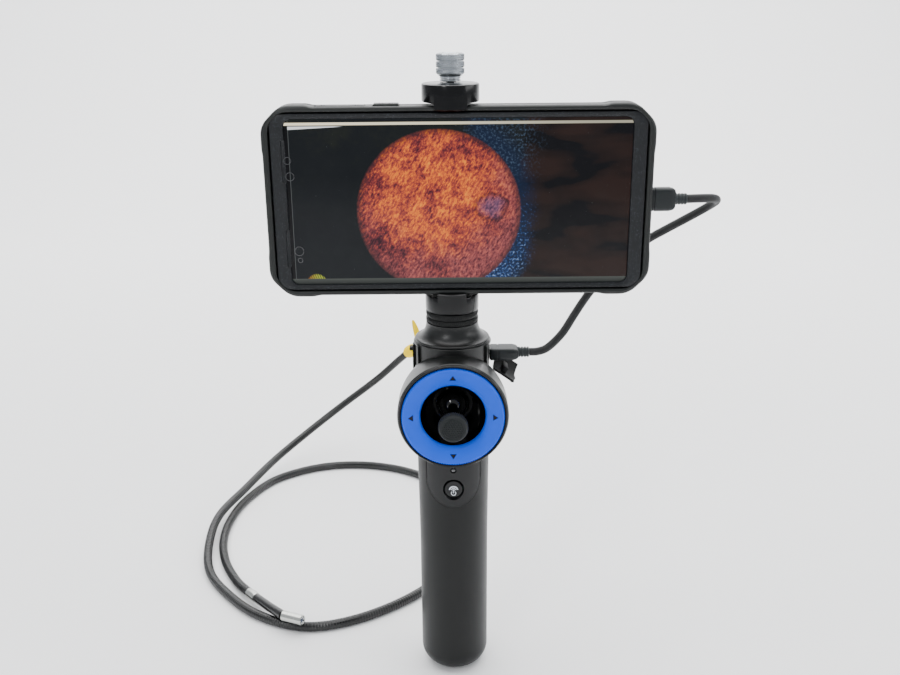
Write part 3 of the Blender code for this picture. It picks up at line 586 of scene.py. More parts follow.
def round_row(name, stud, finish, count, radius, rows=1, rise=0.0):
    """Copies of a small shape set round the Z axis, every second row turned half a step."""
    tree = bpy.data.node_groups.new(name, "GeometryNodeTree")
    face = tree.interface
    face.new_socket("Geometry", in_out="INPUT", socket_type="NodeSocketGeometry")
    values = {"Count": count, "Rows": rows, "Radius": float(radius), "Rise": float(rise), "Stagger": 0.5}
    ids = {}
    for label, value in values.items():
        kind = "NodeSocketInt" if isinstance(value, int) else "NodeSocketFloat"
        ids[label] = face.new_socket(label, in_out="INPUT", socket_type=kind).identifier
    face.new_socket("Geometry", in_out="OUTPUT", socket_type="NodeSocketGeometry")

    g = Graph(tree)
    given = tree.nodes.new("NodeGroupInput").outputs
    per_row, row_count, reach, lift, stagger = (Value(g, given[label]) for label in values)
    index = g.node("GeometryNodeInputIndex")
    row = ((index + 0.5) / per_row).floor()
    turn = (index + row % 2.0 * stagger) / per_row * tau
    spot = g.node("ShaderNodeCombineXYZ", X=turn.cosine() * reach, Y=turn.sine() * reach, Z=row * lift)
    points = g.node("GeometryNodePoints", Count=per_row * row_count)
    moved = g.node("GeometryNodeSetPosition", Geometry=points, Position=spot)
    spread = g.node("GeometryNodeInstanceOnPoints", Points=moved, Instance=Value(g, given["Geometry"]),
        Rotation=g.node("ShaderNodeCombineXYZ", Z=turn))
    real = g.node("GeometryNodeRealizeInstances", Geometry=spread)
    painted = g.node("GeometryNodeSetMaterial", Geometry=real, Material=finish)
    g.put(tree.nodes.new("NodeGroupOutput").inputs[0], painted)

    obj = solid_object(stud)
    mod = obj.modifiers.new(name, "NODES")
    mod.node_group = tree
    for label, value in values.items():
        mod[ids[label]] = value
    graph = bpy.context.evaluated_depsgraph_get()
    mesh = bpy.data.meshes.new_from_object(obj.evaluated_get(graph))
    bpy.data.objects.remove(obj, do_unlink=True)
    bm = bmesh.new()
    bm.from_mesh(mesh)
    bpy.data.meshes.remove(mesh)
    return bm


def stud_diamond(width, height, depth):
    """A four-sided pyramid lying on X, with its base sunk below the surface."""
    corners = ((width / 2, 0), (0, height / 2), (-width / 2, 0), (0, -height / 2))
    return lofted([[(x, y * k, z * k) for y, z in corners] for x, k in ((-0.15, 1.0), (depth, 0.25))])


def stud_rib(width, height, depth):
    """A small upright rib with a rounded crest, pointing along X."""
    outline = [(-0.2, -width / 2), (depth * 0.6, -width / 2), (depth, -width / 5), (depth, width / 5),
        (depth * 0.6, width / 2), (-0.2, width / 2)]
    loops = [[(x * k, y, z) for x, y in outline] for z, k in
             ((-height / 2, 0.55), (-height / 2 + 0.15, 1.0), (height / 2 - 0.15, 1.0), (height / 2, 0.55))]
    return lofted(loops)


# ---- finishes in use

SATIN = grained("grip_satin", (0.0042, 0.0047, 0.0046), 0.40, 1500.0, 0.08, shine=0.22)
HEAD_SATIN = grained("head_satin", (0.0058, 0.0064, 0.0062), 0.34, 1500.0, 0.08, shine=0.34)
GLOSS = grained("panel_gloss", (0.0020, 0.0024, 0.0028), 0.20, 700.0, 0.03, shine=0.3)
BOWL = grained("bowl_gloss", (0.0006, 0.0006, 0.0008), 0.07, 500.0, 0.02, shine=0.45)
RUBBER = grained("black_rubber", (0.0032, 0.0036, 0.0036), 0.56, 1300.0, 0.18, shine=0.2)
CAP_RUBBER = grained("cap_rubber", (0.0085, 0.0105, 0.0112), 0.62, 1300.0, 0.18, shine=0.25)
CASE = grained("case_rubber", (0.0062, 0.0076, 0.0070), 0.46, 1700.0, 0.16, shine=0.36)
ANODISED = grained("black_anodised", (0.0010, 0.0012, 0.0016), 0.20, 2200.0, 0.04, shine=0.26)
TUBE = grained("tube_black", (0.0024, 0.0027, 0.0027), 0.30, 900.0, 0.10, shine=0.42)
SLEEVE = grained("sleeve_black", (0.0026, 0.0029, 0.0029), 0.24, 700.0, 0.06, shine=0.5)
PLUG = grained("plug_grey", (0.0090, 0.0115, 0.0125), 0.42, 1500.0, 0.12, shine=0.3)
RELIEF = grained("relief_grey", (0.020, 0.025, 0.026), 0.50, 1500.0, 0.12, shine=0.3)
YELLOW = grained("tag_yellow", (0.92, 0.64, 0.0), 0.46, 600.0, 0.06, spread=0.05, shine=0.1)
INK = grained("symbol_ink", (0.62, 0.66, 0.70), 0.45, 900.0, 0.05, spread=0.05)
MARK = grained("mark_black", (0.0020, 0.0020, 0.0028), 0.45, 900.0, 0.05, shine=0.2)
BOARD = grained("circuit_board", (0.010, 0.08, 0.04), 0.45, 600.0, 0.10)
CELL = grained("cell_wrap", (0.05, 0.17, 0.28), 0.38, 500.0, 0.08)
KNOB = turned_metal("knob_steel", (0.52, 0.55, 0.58), 0.26, (0, SCREW_Y, 0))
STEEL = turned_metal("bright_steel", (0.56, 0.58, 0.58), 0.28, (0, 0, 0), "X", 1800.0)
TIP_STEEL = turned_metal("tip_steel", (0.55, 0.56, 0.53), 0.24, (0, 0, 0), "X", 1500.0)
BRASS = turned_metal("nut_brass", (0.68, 0.48, 0.20), 0.30, (0, 0, 0))
BLUE = blue_plastic()
FLAKE = glitter_frame()
BRAID = braided()
LENS = plain_glass("lens_glass", (0.010, 0.022, 0.060))
COVER = plain_glass("dark_cover", (0.012, 0.013, 0.015))
SCREEN = screen_picture()
LED = led_light()
CAD_FINISH = {"satin": SATIN, "gloss": GLOSS, "rubber": RUBBER, "anodised": ANODISED, "steel": STEEL,
    "brass": BRASS, "blue": BLUE, "clear": COVER, "board": BOARD, "cell": CELL, "tube": TUBE,
    "braid": BRAID, "plug": PLUG, "yellow": YELLOW}


# ---- cords first

def tube_mesh(line, radii, sides, turns=1.0, pitch=1.0):
    """A closed tube with a UV map: turns round it, and one unit each pitch along it."""
    bm = bmesh.new()
    uv = bm.loops.layers.uv.new("run")
    loops = [[bm.verts.new(p) for p in loop] for loop in swept(line, radii, sides)]
    run = 0.0
    for i, (a, b) in enumerate(zip(loops, loops[1:])):
        step = (line[i + 1] - line[i]).length / pitch
        for k in range(sides):
            j = (k + 1) % sides
            face = bm.faces.new((a[k], a[j], b[j], b[k]))
            for loop, (u, v) in zip(face.loops,
                    ((k, run), (k + 1, run), (k + 1, run + step), (k, run + step))):
                loop[uv].uv = (turns * u / sides, v)
        run += step
    for loop, point in ((loops[0], line[0]), (loops[-1], line[-1])):
        middle = bm.verts.new(point)
        for k in range(sides):
            bm.faces.new((middle, loop[k], loop[(k + 1) % sides]))
    return bm


def build_lead():
    """The braided lead from the handle's plug to the phone's."""
    line, length = smooth_route(LEAD_ROUTE, 1.1)
    lead = make("braided_lead", tube_mesh(line, [LEAD_R] * len(line), 20, 6.0, 1.5), BRAID, None,
        "usb_lead", smooth=60)
    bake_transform(lead)


def build_sleeve(name, start, end, bodies, pivot_at, *replaced):
    """Smooth rubber over a stretch of the bending section; it rides on no body, so it does not turn with
    the tip.
    """
    count = 28
    line = [start + (end - start) * (i / count) for i in range(count + 1)]
    bm = tube_mesh(line, [2.66] * len(line), 28, 1.0, 5.0)
    sleeve = make(name, bm, SLEEVE, None, *replaced, smooth=60, seat="rubber")
    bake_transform(sleeve)
    return sleeve


def build_probe():
    """The coiled tube with its steerable lit tip and the yellow tag."""
    line, length = smooth_route(TUBE_ROUTE, 0.8)
    radii = [TUBE_R if i % 2 else TUBE_R - 0.20 for i in range(len(line))]
    tube = make("ribbed_tube", tube_mesh(line, radii, 16), TUBE, "handle", "insertion_tube", smooth=20)

    reach = (FERRULE_END - FERRULE_START).length
    ferrule = make("tip_collar", turned([
        (0, 0), (2.72, 0), (TIP_R, 0.25), (TIP_R, 1.6), (2.74, 1.75), (2.74, 2.05), (TIP_R, 2.2),
        (TIP_R, reach - 0.5), (2.7, reach), (0, reach)], FERRULE_START, FERRULE_END - FERRULE_START, 40),
        TIP_STEEL, "handle", "tip_ferrule", smooth=30)
    middle = (YAW_PIVOT + PITCH_PIVOT) / 2
    first = build_sleeve("sleeve_near", FERRULE_END, middle, ("handle", "tip_link"), YAW_PIVOT,
        "bend_link_root", "bend_link_middle")
    second = build_sleeve("sleeve_far", middle, TIP_START, ("tip_link", "tip"), PITCH_PIVOT,
        "bend_link_end")

    way = TIP_END - TIP_START
    reach = way.length
    housing = make("tip_shell", turned([
        (0, 0), (2.7, 0), (TIP_R, 0.2), (TIP_R, 3.6), (2.78, 3.7), (2.78, 3.95), (TIP_R, 4.05),
        (TIP_R, reach - 0.35), (2.62, reach), (2.2, reach), (2.05, reach - 0.25), (2.05, reach - 1.6),
        (0, reach - 1.6)], TIP_START, way, 48), TIP_STEEL, "tip", "tip_housing", smooth=30)
    seat = make("light_seat", turned([
        (1.25, reach - 1.4), (2.0, reach - 1.4), (2.0, reach - 0.42), (1.25, reach - 0.42)],
        TIP_START, way, 40), COVER, "tip", "light_ring")
    lens = make("tip_lens", turned([(0, reach - 1.4), (1.15, reach - 1.4), (1.15, reach - 0.5),
        (0.9, reach - 0.32), (0.5, reach - 0.18), (0, reach - 0.12)], TIP_START, way, 40), LENS, "tip",
        "camera_lens", smooth=50)
    dome = turned([(0, -0.2), (0.30, -0.2), (0.30, 0.05), (0.2, 0.2), (0, 0.26)], steps=12)
    lights = round_row("tip_lights_row", dome, LED, 6, 1.62)
    lights.transform(Matrix.Translation(TIP_START + way * ((reach - 0.42) / reach)) @ aim(way))
    lights = make("tip_lights", lights, LED, "tip", seat="clear")

    dense, _ = smooth_route(TUBE_ROUTE, 1.5)
    spot = min(range(len(dense)), key=lambda i: (dense[i] - TAG_PLACE).length)
    along = dense[spot + 1] - dense[spot - 1]
    bulb = turned([(3.0, -4.6), (3.7, -4.5), (4.5, -3.0), (4.8, 0), (4.5, 3.0), (3.7, 4.5), (3.0, 4.6)],
        dense[spot], along, 40, soften=1.2)
    tag = make("tag_bulb", bulb, YELLOW, "handle", "tube_tag", smooth=60)
    tail = build_tail(dense[spot])


def build_tail(spot):
    """The loose crescent end of the yellow tag, standing up from its bulb."""
    loops = []
    for i in range(21):
        t = i / 20
        wide = 0.5 + 1.9 * sin(pi * (0.1 + 0.88 * t)) ** 0.7
        lean = 6.2 - 4.2 * t ** 1.5
        centre = Vector((lean * min(1.0, 0.25 + 4 * t), 1.0, 3.4 + 20.5 * t))
        loops.append([tuple(spot + centre + Vector((wide * cos(a), 0.45 * sin(a), 0)))
            for a in (tau * k / 16 for k in range(16))])
    return make("tag_tail", lofted(loops), YELLOW, "handle", smooth=60, seat="yellow")


# ---- grip

def half_block(front):
    """All that lies in front of the split between the shell halves, or behind it."""
    if front:
        return block((-60, -60, -20), (60, -SPLIT_GAP, 330))
    return block((-60, SPLIT_GAP, -20), (60, 60, 330))


def panel_prism(margin):
    """The arched outline of the button panel, drawn out along Y."""
    half = PANEL_HALF + margin
    outline = [(half * cos(a), PANEL_ROUND_Z + half * sin(a))
        for a in (pi + pi * i / 40 for i in range(41))]
    outline += [(half, GRIP_TOP + 3), (-half, GRIP_TOP + 3)]
    return lofted([[(x, y, z) for x, z in outline] for y in (-40.0, -8.0)])


def band(centre, inner, outer, start, end, low, high, steps=24):
    """A flat arc facing -Y, from one angle to another, between two depths."""
    loops = []
    for i in range(steps + 1):
        a = radians(start + (end - start) * i / steps)
        loops.append([(centre[0] + r * cos(a), y, centre[1] + r * sin(a))
            for r, y in ((inner, low), (outer, low), (outer, high), (inner, high))])
    return lofted(loops)


def build_grip():
    """Two satin shell halves, the foot cushion, the button panel and its button."""
    outer = [(GRIP_TOP_R - 0.3, GRIP_TOP), (GRIP_TOP_R, GRIP_TOP - 0.3), (GRIP_TOP_R - 0.25, 104),
        (GRIP_R, 76)]
    centre_r, centre_z = GRIP_R - FOOT_FILLET, FOOT_FILLET + GAP
    for i in range(17):
        a = pi / 2 * i / 16
        outer.append((centre_r + FOOT_FILLET * cos(a), centre_z - FOOT_FILLET * sin(a)))
    inner = [(7.3, GAP), (7.3, 3.0), (12.7, 4.6), (15.2, 9.0), (15.2, 76), (15.8, GRIP_TOP)]
    for side, front in (("front", True), ("rear", False)):
        shell = carved(turned(outer + inner, steps=128), half_block(front), operation="INTERSECT")
        if front:
            shell = carved(shell, panel_prism(0.3))
        make(f"grip_half_{side}", shell, SATIN, "handle", f"grip_{side}", smooth=30)
    make("foot_cushion", turned([(0, 0.35), (5.4, 0.35), (5.7, 0), (6.6, 0), (7.0, 0.4), (7.0, 2.2),
        (0, 2.2)], steps=64), RUBBER, "handle", "foot_pad")

    panel = turned([(GRIP_TOP_R + 0.1, GRIP_TOP), (GRIP_TOP_R - 0.1, 96), (GRIP_TOP_R - 2.4, 96),
        (GRIP_TOP_R - 2.4, GRIP_TOP)], steps=144)
    panel = carved(panel, panel_prism(0.0), operation="INTERSECT")
    recess = turned([(0, 0), (BUTTON_R + 0.3, 0), (BUTTON_R + 0.3, 8.6), (BUTTON_R + 1.1, 9.6),
        (BUTTON_R + 1.1, 30), (0, 30)], (0, -8, BUTTON_Z), (0, -1, 0), 48)
    port = turned([(0, 0), (1.5, 0), (1.5, 30), (0, 30)], (0, -5, 119), (0, -1, 0), 32)
    make("panel_face", carved(panel, recess, port), GLOSS, "handle", "button_panel", smooth=30)
    make("panel_lamp", turned([(0, 0), (1.2, 0), (1.2, 2.0), (0.9, 2.35), (0.45, 2.5), (0, 2.55)],
        (0, -15.3, 119), (0, -1, 0), 32), COVER, "handle", "status_light", smooth=50)
    make("lamp_mark", band((0, 122.6), 0.32, 0.62, 0, 360, -17.5, -17.86), INK, "handle", seat="gloss")

    make("button_disc", turned([(0, 0), (BUTTON_R, 0), (BUTTON_R, 2.5), (BUTTON_R - 0.25, 2.85),
        (BUTTON_R - 0.7, 2.95), (BUTTON_R - 1.5, 2.8), (0, 2.72)], (0, -14.2, BUTTON_Z), (0, -1, 0), 64),
        GLOSS, "power_button", "power_button", smooth=40)
    mark, dome = (0, BUTTON_Z - 2.15), (0, BUTTON_Z - 0.55)
    low, high = -16.7, -17.16
    symbol = joined(
        band(mark, 0.92, 1.28, 130, 410, low, high),
        block((-0.19, high, mark[1] + 0.1), (0.19, low, mark[1] + 1.2), 0.04, 1),
        band(dome, 0.02, 0.45, 0, 360, low, high),
        band(dome, 0.85, 1.25, 12, 168, low, high),
        band(dome, 1.65, 2.35, 10, 170, low, high))
    make("button_symbol", symbol, INK, "power_button", seat="gloss")


# ---- head and control

def head_forms(shrink, front, back, steps):
    """The upright post of the head and the drum that grows out of its front."""
    low, high, side = GRIP_TOP + GAP - shrink, HEAD_TOP - shrink, HEAD_R - shrink
    outline = [(side, low), (side, high)]
    if shrink == 0:
        outline = [(side - 0.35, low), (side, low + 0.35), (side, high - 0.35), (side - 0.35, high)]
    post = turned([(0, low), *outline, (0, high)], steps=steps)
    outline = [(DRUM_R - 0.5 - shrink, front), (DRUM_R - shrink, front + 0.6)]
    for i in range(1, 25):
        angle = pi / 2 * i / 24
        outline.append((SHOULDER_R + (DRUM_R - SHOULDER_R) * cos(angle) - shrink,
            SHOULDER_FRONT + (back - SHOULDER_FRONT) * sin(angle)))
    drum = turned([(0, front), *outline, (0, back)], (0, 0, DRUM_Z), (0, 1, 0), steps + 16)
    return post, drum


def ring_depth(r):
    """How far the direction ring's face stands out at a radius."""
    spots = [(15.2, 27.8), (15.5, 29.0), (16.3, 29.8), (18.4, 30.4), (21.6, 31.0), (23.3, 31.1), (24, 30.4)]
    for (r0, d0), (r1, d1) in zip(spots, spots[1:]):
        if r <= r1:
            return d0 + (d1 - d0) * (r - r0) / (r1 - r0)
    return spots[-1][1]


def arrow(angle):
    """A small raised triangle on the ring, pointing outwards."""
    tip, base, half = 20.9, 18.5, 1.55
    corners = [(tip, 0.0), (base, half), (base, -half)]
    loops = []
    for lift in (-0.25, 0.07):
        loops.append([(r * cos(angle) - s * sin(angle), -(ring_depth(hypot(r, s)) + lift),
            DRUM_Z + r * sin(angle) + s * cos(angle)) for r, s in corners])
    return lofted(loops)


def build_head():
    """Shell halves, bezel, direction ring, bowl, stick and thumb cap."""
    hollow = (2.0, DRUM_FRONT - 2, DRUM_BACK - 2.0, 80)
    for side, front in (("front", True), ("rear", False)):
        post, drum = head_forms(0, DRUM_FRONT, DRUM_BACK, 128)
        shell = carved(post, drum, operation="UNION", solver="MANIFOLD")
        shell = carved(shell, half_block(front), operation="INTERSECT", solver="MANIFOLD")
        seat = turned([(0, 27.0), (RING_R + 0.35, 27.0), (RING_R + 0.35, 36), (0, 36)], (0, 0, DRUM_Z),
            (0, -1, 0), 112)
        bore = turned([(0, 170), (5.6, 170), (5.6, 190), (0, 190)], steps=40)
        shell = carved(shell, *head_forms(*hollow), seat, bore, solver="MANIFOLD")
        if not front:
            mouths = [block((min(sign * 12, sign * 20), PORT_Y - 5, PORT_Z - 2.2),
                (max(sign * 12, sign * 20), PORT_Y + 5, PORT_Z + 2.2), 0.8) for sign in (-1, 1)]
            hole = turned([(0, 10), (4.6, 10), (4.6, 30), (0, 30)], (0, 0, EXIT_Z), (0, 1, 0), 48)
            shell = carved(shell, *mouths, hole)
        make(f"head_half_{side}", shell, HEAD_SATIN, "handle", f"head_{side}", smooth=30)

    centre, ahead = (0, 0, DRUM_Z), (0, -1, 0)
    make("bezel_ring", turned([(25.6, 29.3), (25.55, 29.75), (25.3, 30.0), (24.7, 30.0), (24.45, 29.8),
        (24.4, 29.3)], centre, ahead, 144), GLOSS, "handle", "ring_bezel", smooth=40)
    core = turned([(23.72, 27.8), (23.72, 30.2), (23.5, 30.8), (23.1, 31.08), (21.6, 31.0), (18.4, 30.4),
        (17.2, 30.1), (16.3, 29.75), (15.65, 29.2), (15.3, 28.5), (RING_HOLE_R, 27.8)], centre, ahead, 160)
    ribs = round_row("ring_rib_row", stud_rib(0.62, 2.7, 0.27), BLUE, 132, 23.72)
    ribs.transform(Matrix.Translation((0, -29.3, DRUM_Z)) @ aim(ahead))
    make("blue_ring", joined(core, ribs), BLUE, "direction_ring", "direction_ring", smooth=35)
    make("ring_arrows", joined(*(arrow(pi / 2 * k) for k in range(4))), MARK, "direction_ring", seat="blue")

    dish = [(23.1, 27.5), (15.3, 27.5), (15.05, 26.6), (14.7, 25.0), (14.1, 23.2), (13.2, 21.3),
        (12.1, 19.6), (10.7, 18.0), (9.2, 16.7), (8.1, 15.7), (7.35, 15.0), (7.1, 14.6), (7.6, 14.0),
        (11.0, 16.2), (14.0, 20.0), (16.0, 24.6), (17.0, 25.8), (23.1, 25.8)]
    make("bowl", turned(dish, centre, ahead, 128), BOWL, "handle", "joystick_bowl", smooth=50)
    stick = [(0, 2.4), (1.9, 2.4), (1.9, BALL_DEPTH - sqrt(BALL_R ** 2 - 1.9 ** 2))]
    stick += [(BALL_R * cos(a), BALL_DEPTH + BALL_R * sin(a))
        for a in (radians(-68 + 138 * i / 30) for i in range(31))]
    stick += [(2.2, 19.0), (2.0, 20.5), (2.0, 34.5), (2.6, 36.6), (3.6, 38.2), (0, 38.2)]
    make("stick", turned(stick, centre, ahead, 64), BOWL, "joystick", "joystick", smooth=50)
    rim = [(0, 38.5), (5.0, 38.5), (6.1, 38.9), (6.55, 39.7), (6.6, 42.4), (6.4, 43.2), (5.9, 43.7),
        (5.2, 43.75), (4.9, 43.55), (0, 43.7)]
    grip = round_row("cap_rib_row", stud_rib(0.6, 3.0, 0.28), CAP_RUBBER, 44, 6.58)
    grip.transform(Matrix.Translation((0, -41.0, DRUM_Z)) @ aim(ahead))
    dots = []
    for count, radius in ((6, 1.05), (12, 2.1), (18, 3.15), (24, 4.2)):
        dot = turned([(0, -0.2), (0.26, -0.2), (0.26, 0.12), (0.16, 0.26), (0, 0.3)], steps=8)
        row = round_row(f"cap_dots_{count}", dot, CAP_RUBBER, count, radius)
        row.transform(Matrix.Translation((0, -43.66, DRUM_Z)) @ aim(ahead))
        dots.append(row)
    make("cap_rubber", joined(turned(rim, centre, ahead, 72), grip, *dots), CAP_RUBBER, "joystick",
        "thumb_cap", smooth=35)


# ---- ports, boot and covers

def cover_flap(name, sign):
    """A curved rubber flap with its plug and pull tab; the right one hangs open."""
    edge = rounded([(HEAD_R + 0.3, PORT_Z - 5.8), (HEAD_R + 1.4, PORT_Z - 5.8),
        (HEAD_R + 1.4, PORT_Z + 6.6), (HEAD_R + 0.3, PORT_Z + 6.6)], 0.45)
    loops = [[(sign * r * cos(a), r * sin(a), z) for r, z in edge]
        for a in (radians(-4 + 46 * i / 24) for i in range(25))]
    low, high = sorted((sign * 15.2, sign * 18.4))
    tab = sorted((sign * 17.9, sign * 20.9))
    rise = PORT_Z + (5.9 if sign > 0 else 1.8)
    flap = carved(lofted(loops), block((low, PORT_Y - 4.4, PORT_Z - 1.3),
        (high, PORT_Y + 4.4, PORT_Z + 1.3), 0.5, 3),
        block((tab[0], PORT_Y - 2.2, rise), (tab[1], PORT_Y + 2.2, rise + 1.7), 0.6, 4), operation="UNION")
    if sign > 0:
        hinge = Vector((HEAD_R + 1.3, PORT_Y, PORT_Z - 6.2))
        flap.transform(Matrix.Translation(hinge) @ Matrix.Rotation(radians(125), 4, "Y")
            @ Matrix.Translation(-hinge))
    side = "right" if sign > 0 else "left"
    make(name, flap, RUBBER, f"cover_{side}", f"port_cover_{side}", smooth=40)


def build_ports():
    """Port covers, the ribbed boot at the back and the raised bars beside the ports."""
    cover_flap("port_flap_left", -1)
    cover_flap("port_flap_right", 1)
    boot = [(0, 0), (5.2, 0), (5.6, 0.5), (5.5, 3.0)]
    for i in range(9):
        y = 5.0 + 2.4 * i
        r = 5.35 - 1.5 * (y - 5.0) / 24
        boot += [(r, y - 0.8), (r, y + 0.5), (r - 0.55, y + 0.8), (r - 0.62, y + 1.4)]
    boot += [(3.75, 28.2), (3.7, 29.6), (3.4, 30), (0, 30)]
    make("boot_rubber", turned(boot, (0, 20, EXIT_Z), (0, 1, 0), 56), RUBBER, "handle", "exit_boot",
        smooth=40)
    for side, sign in (("left", -1), ("right", 1)):
        upright = wrapped_bar(sign, -31, -25.5, PORT_Z - 6.6, PORT_Z + 8.4, 1.15)
        top = wrapped_bar(sign, -30, 50, PORT_Z + 7.9, PORT_Z + 9.0, 0.8)
        make(f"port_frame_{side}", joined(upright, top), HEAD_SATIN, "handle", seat="satin")


def wrapped_bar(sign, start, end, low, high, stand):
    """A rounded bar lying round the head between two angles and two heights."""
    edge = rounded([(HEAD_R - 0.5, low), (HEAD_R + stand, low), (HEAD_R + stand, high),
        (HEAD_R - 0.5, high)], 0.5)
    count = max(6, round(abs(end - start) / 3))
    loops = []
    for i in range(count + 1):
        a = radians(start + (end - start) * i / count)
        near = 1.0 if 0 < i < count else 0.35
        loops.append([(sign * (HEAD_R - 0.5 + (r - HEAD_R + 0.5) * near) * cos(a),
            (HEAD_R - 0.5 + (r - HEAD_R + 0.5) * near) * sin(a), z) for r, z in edge])
    return lofted(loops)


# ---- phone clamp

def curved_tongue(radius, half, low, high):
    """The part of a round jaw's front that reaches over the edge of the case."""
    post = turned([(0, low), (radius - 0.4, low), (radius, low + 0.4), (radius, high - 0.4),
        (radius - 0.4, high), (0, high)], steps=128)
    return carved(post, block((-half, -20, low - 3), (half, -9.35, high + 3), 1.2, 4),
        operation="INTERSECT")


def build_clamp():
    """Neck, lock ring, both jaws, the post between them, screw and knurled knob."""
    flare = []
    for i in range(25):
        t = i / 24
        flare.append((HEAD_R - 0.5 - 4.9 * sin(t * pi / 2), HEAD_TOP + 1.3 + 7.7 * t ** 1.6))
    make("neck_flare", turned([(5.3, HEAD_TOP + 0.3), (HEAD_R - 0.2, HEAD_TOP + 0.3),
        (HEAD_R, HEAD_TOP + 0.5), (HEAD_R, HEAD_TOP + 0.8), (HEAD_R - 0.2, HEAD_TOP + 1.1), *flare,
        (12.4, 189.7), (12.2, NECK_TOP), (5.3, NECK_TOP)], steps=128), HEAD_SATIN, "handle", "neck_cap",
        smooth=30)
    lock = turned([(5.8, 190.3), (12.0, 190.3), (12.2, 190.5), (12.2, 192.6), (11.7, 192.8), (11.7, 193.3),
        (12.2, 193.5), (12.2, 195.6), (11.9, 195.9), (5.8, 195.9)], steps=128)
    knurl = round_row("lock_knurl_row", stud_rib(0.55, 1.7, 0.28), SATIN, 84, 12.18, 2, 3.0)
    knurl.transform(Matrix.Translation((0, 0, 191.6)))
    make("lock_knurled", joined(lock, knurl), SATIN, "lock_ring", "lock_ring", smooth=35)

    lower = turned([(0, 196.2), (12.1, 196.2), (12.45, 196.35), (12.6, 196.7), (12.6, 203.4),
        (12.45, 203.75), (12.1, 203.9), (0, 203.9)], steps=128)
    lower = carved(lower, curved_tongue(12.6, 6.7, 200.0, 206.0),
        block((-7.5, 3.9, 198), (7.5, 14.0, 212), 1.0, 4), operation="UNION")
    lower = carved(lower, block((-9.3, -8.8, 203.0), (9.3, 3.3, 210), 0.2, 2),
        block((-6.3, 4.2, 200.0), (6.3, 12.8, 215), 0.3, 2))
    make("jaw_lower", lower, ANODISED, "holder", "lower_jaw", smooth=30)
    post = carved(block((-6, 4.5, 200.3), (6, 12.5, 287), 1.2, 4),
        block((-4.6, 5.6, 208), (4.6, 11.4, 290), 0.3, 2), block((-2.2, 10, 216), (2.2, 16, 232), 2.0, 6),
        block((-2.2, 10, 262), (2.2, 16, 278), 2.0, 6))
    make("clamp_post", post, ANODISED, "holder", "spine", smooth=30)
    upper = turned([(0, JAW_UP_Z), (12.3, JAW_UP_Z), (12.75, 292.6), (12.9, 293.1), (12.9, 299.6),
        (12.75, 300.05), (12.3, 300.3), (0, 300.3)], steps=128)
    upper = carved(upper, curved_tongue(12.9, 7.4, 289.3, 296.0),
        block((-4.2, 10.0, 246), (4.2, 11.1, 293.3), 0.3, 2), operation="UNION")
    upper = carved(upper, turned([(0, 280), (2.9, 280), (2.9, 310), (0, 310)], (0, SCREW_Y, 0), steps=48))
    make("jaw_upper", upper, ANODISED, "upper_jaw", "upper_jaw", smooth=30)

    thread = [(0, 230), (1.5, 230)]
    z = 230.6
    while z < 299.4:
        thread += [(1.55, z), (1.9, z + 0.62)]
        z += 1.25
    thread += [(1.6, 300.2), (1.9, 300.6), (1.9, 301.4), (0, 301.4)]
    make("screw_thread", turned(thread, (0, SCREW_Y, 0), steps=28), STEEL, "knob", "clamp_screw", smooth=20)
    make("screw_collar", turned([(4.6, 300.6), (4.8, 300.75), (4.8, 301.25), (4.6, 301.4), (2.3, 301.4),
        (2.3, 300.6)], (0, SCREW_Y, 0), steps=64), KNOB, "knob", "knob_collar", smooth=30)
    body = turned([(0, 301.7), (4.6, 301.7), (4.8, 301.9), (4.8, 302.6), (5.5, 302.95), (5.95, 303.5),
        (6.08, 303.9), (6.08, 305.95), (5.6, 306.2), (5.6, 306.5), (6.08, 306.75), (6.08, 308.95),
        (5.6, 309.2), (5.6, 309.5), (6.08, 309.75), (6.08, 312.1), (5.7, 312.6), (5.2, 312.8),
        (3.6, 312.8), (3.3, 312.5), (0, 312.5)], (0, SCREW_Y, 0), steps=96)
    rows = []
    for low, high in ((303.85, 306.0), (306.7, 309.0), (309.7, 312.15)):
        step = (high - low - 0.1) / 3
        row = round_row(f"knurl_{round(low)}", stud_diamond(0.76, step * 1.9, 0.34), KNOB, 48, 6.08, 3,
            step)
        row.transform(Matrix.Translation((0, SCREW_Y, low + 0.05 + step / 2)))
        rows.append(row)
    make("knob_knurled", joined(body, *rows), KNOB, "knob", "clamp_knob", smooth=30)


# ---- phone and case

def case_outline(width, height, corner, inset):
    """Rounded rectangle whose corners stand out as bumpers and are cut at a slant."""
    a, b = width / 2, height / 2
    quarter = [(a - 0.3 * inset, b - 22), (a, b - 19), (a, b - corner), (a - corner, b), (a - 20, b),
        (a - 23, b - 0.65 * inset)]
    points = []
    for sx, sz, back in ((1, 1, False), (-1, 1, True), (-1, -1, False), (1, -1, True)):
        part = [(sx * x, sz * z) for x, z in quarter]
        points += reversed(part) if back else part
    return points


def case_loft(levels, centre):
    """Case outlines (y, width, height, corner, inset) skinned front to back."""
    return lofted([[(centre[0] + x, y, centre[1] + z)
        for x, z in rounded(case_outline(w, h, c, i), 5.0, 5, 0.42)] for y, w, h, c, i in levels])


def socket_cut(bevel, segments):
    """Room for the phone's plug through the side of the case."""
    low = (PHONE_X + 80, PLUG_Y - 3.4, PHONE_Z - 6.0)
    high = (PHONE_X + 92, PLUG_Y + 3.4, PHONE_Z + 6.0)
    return block(low, high, bevel, segments)


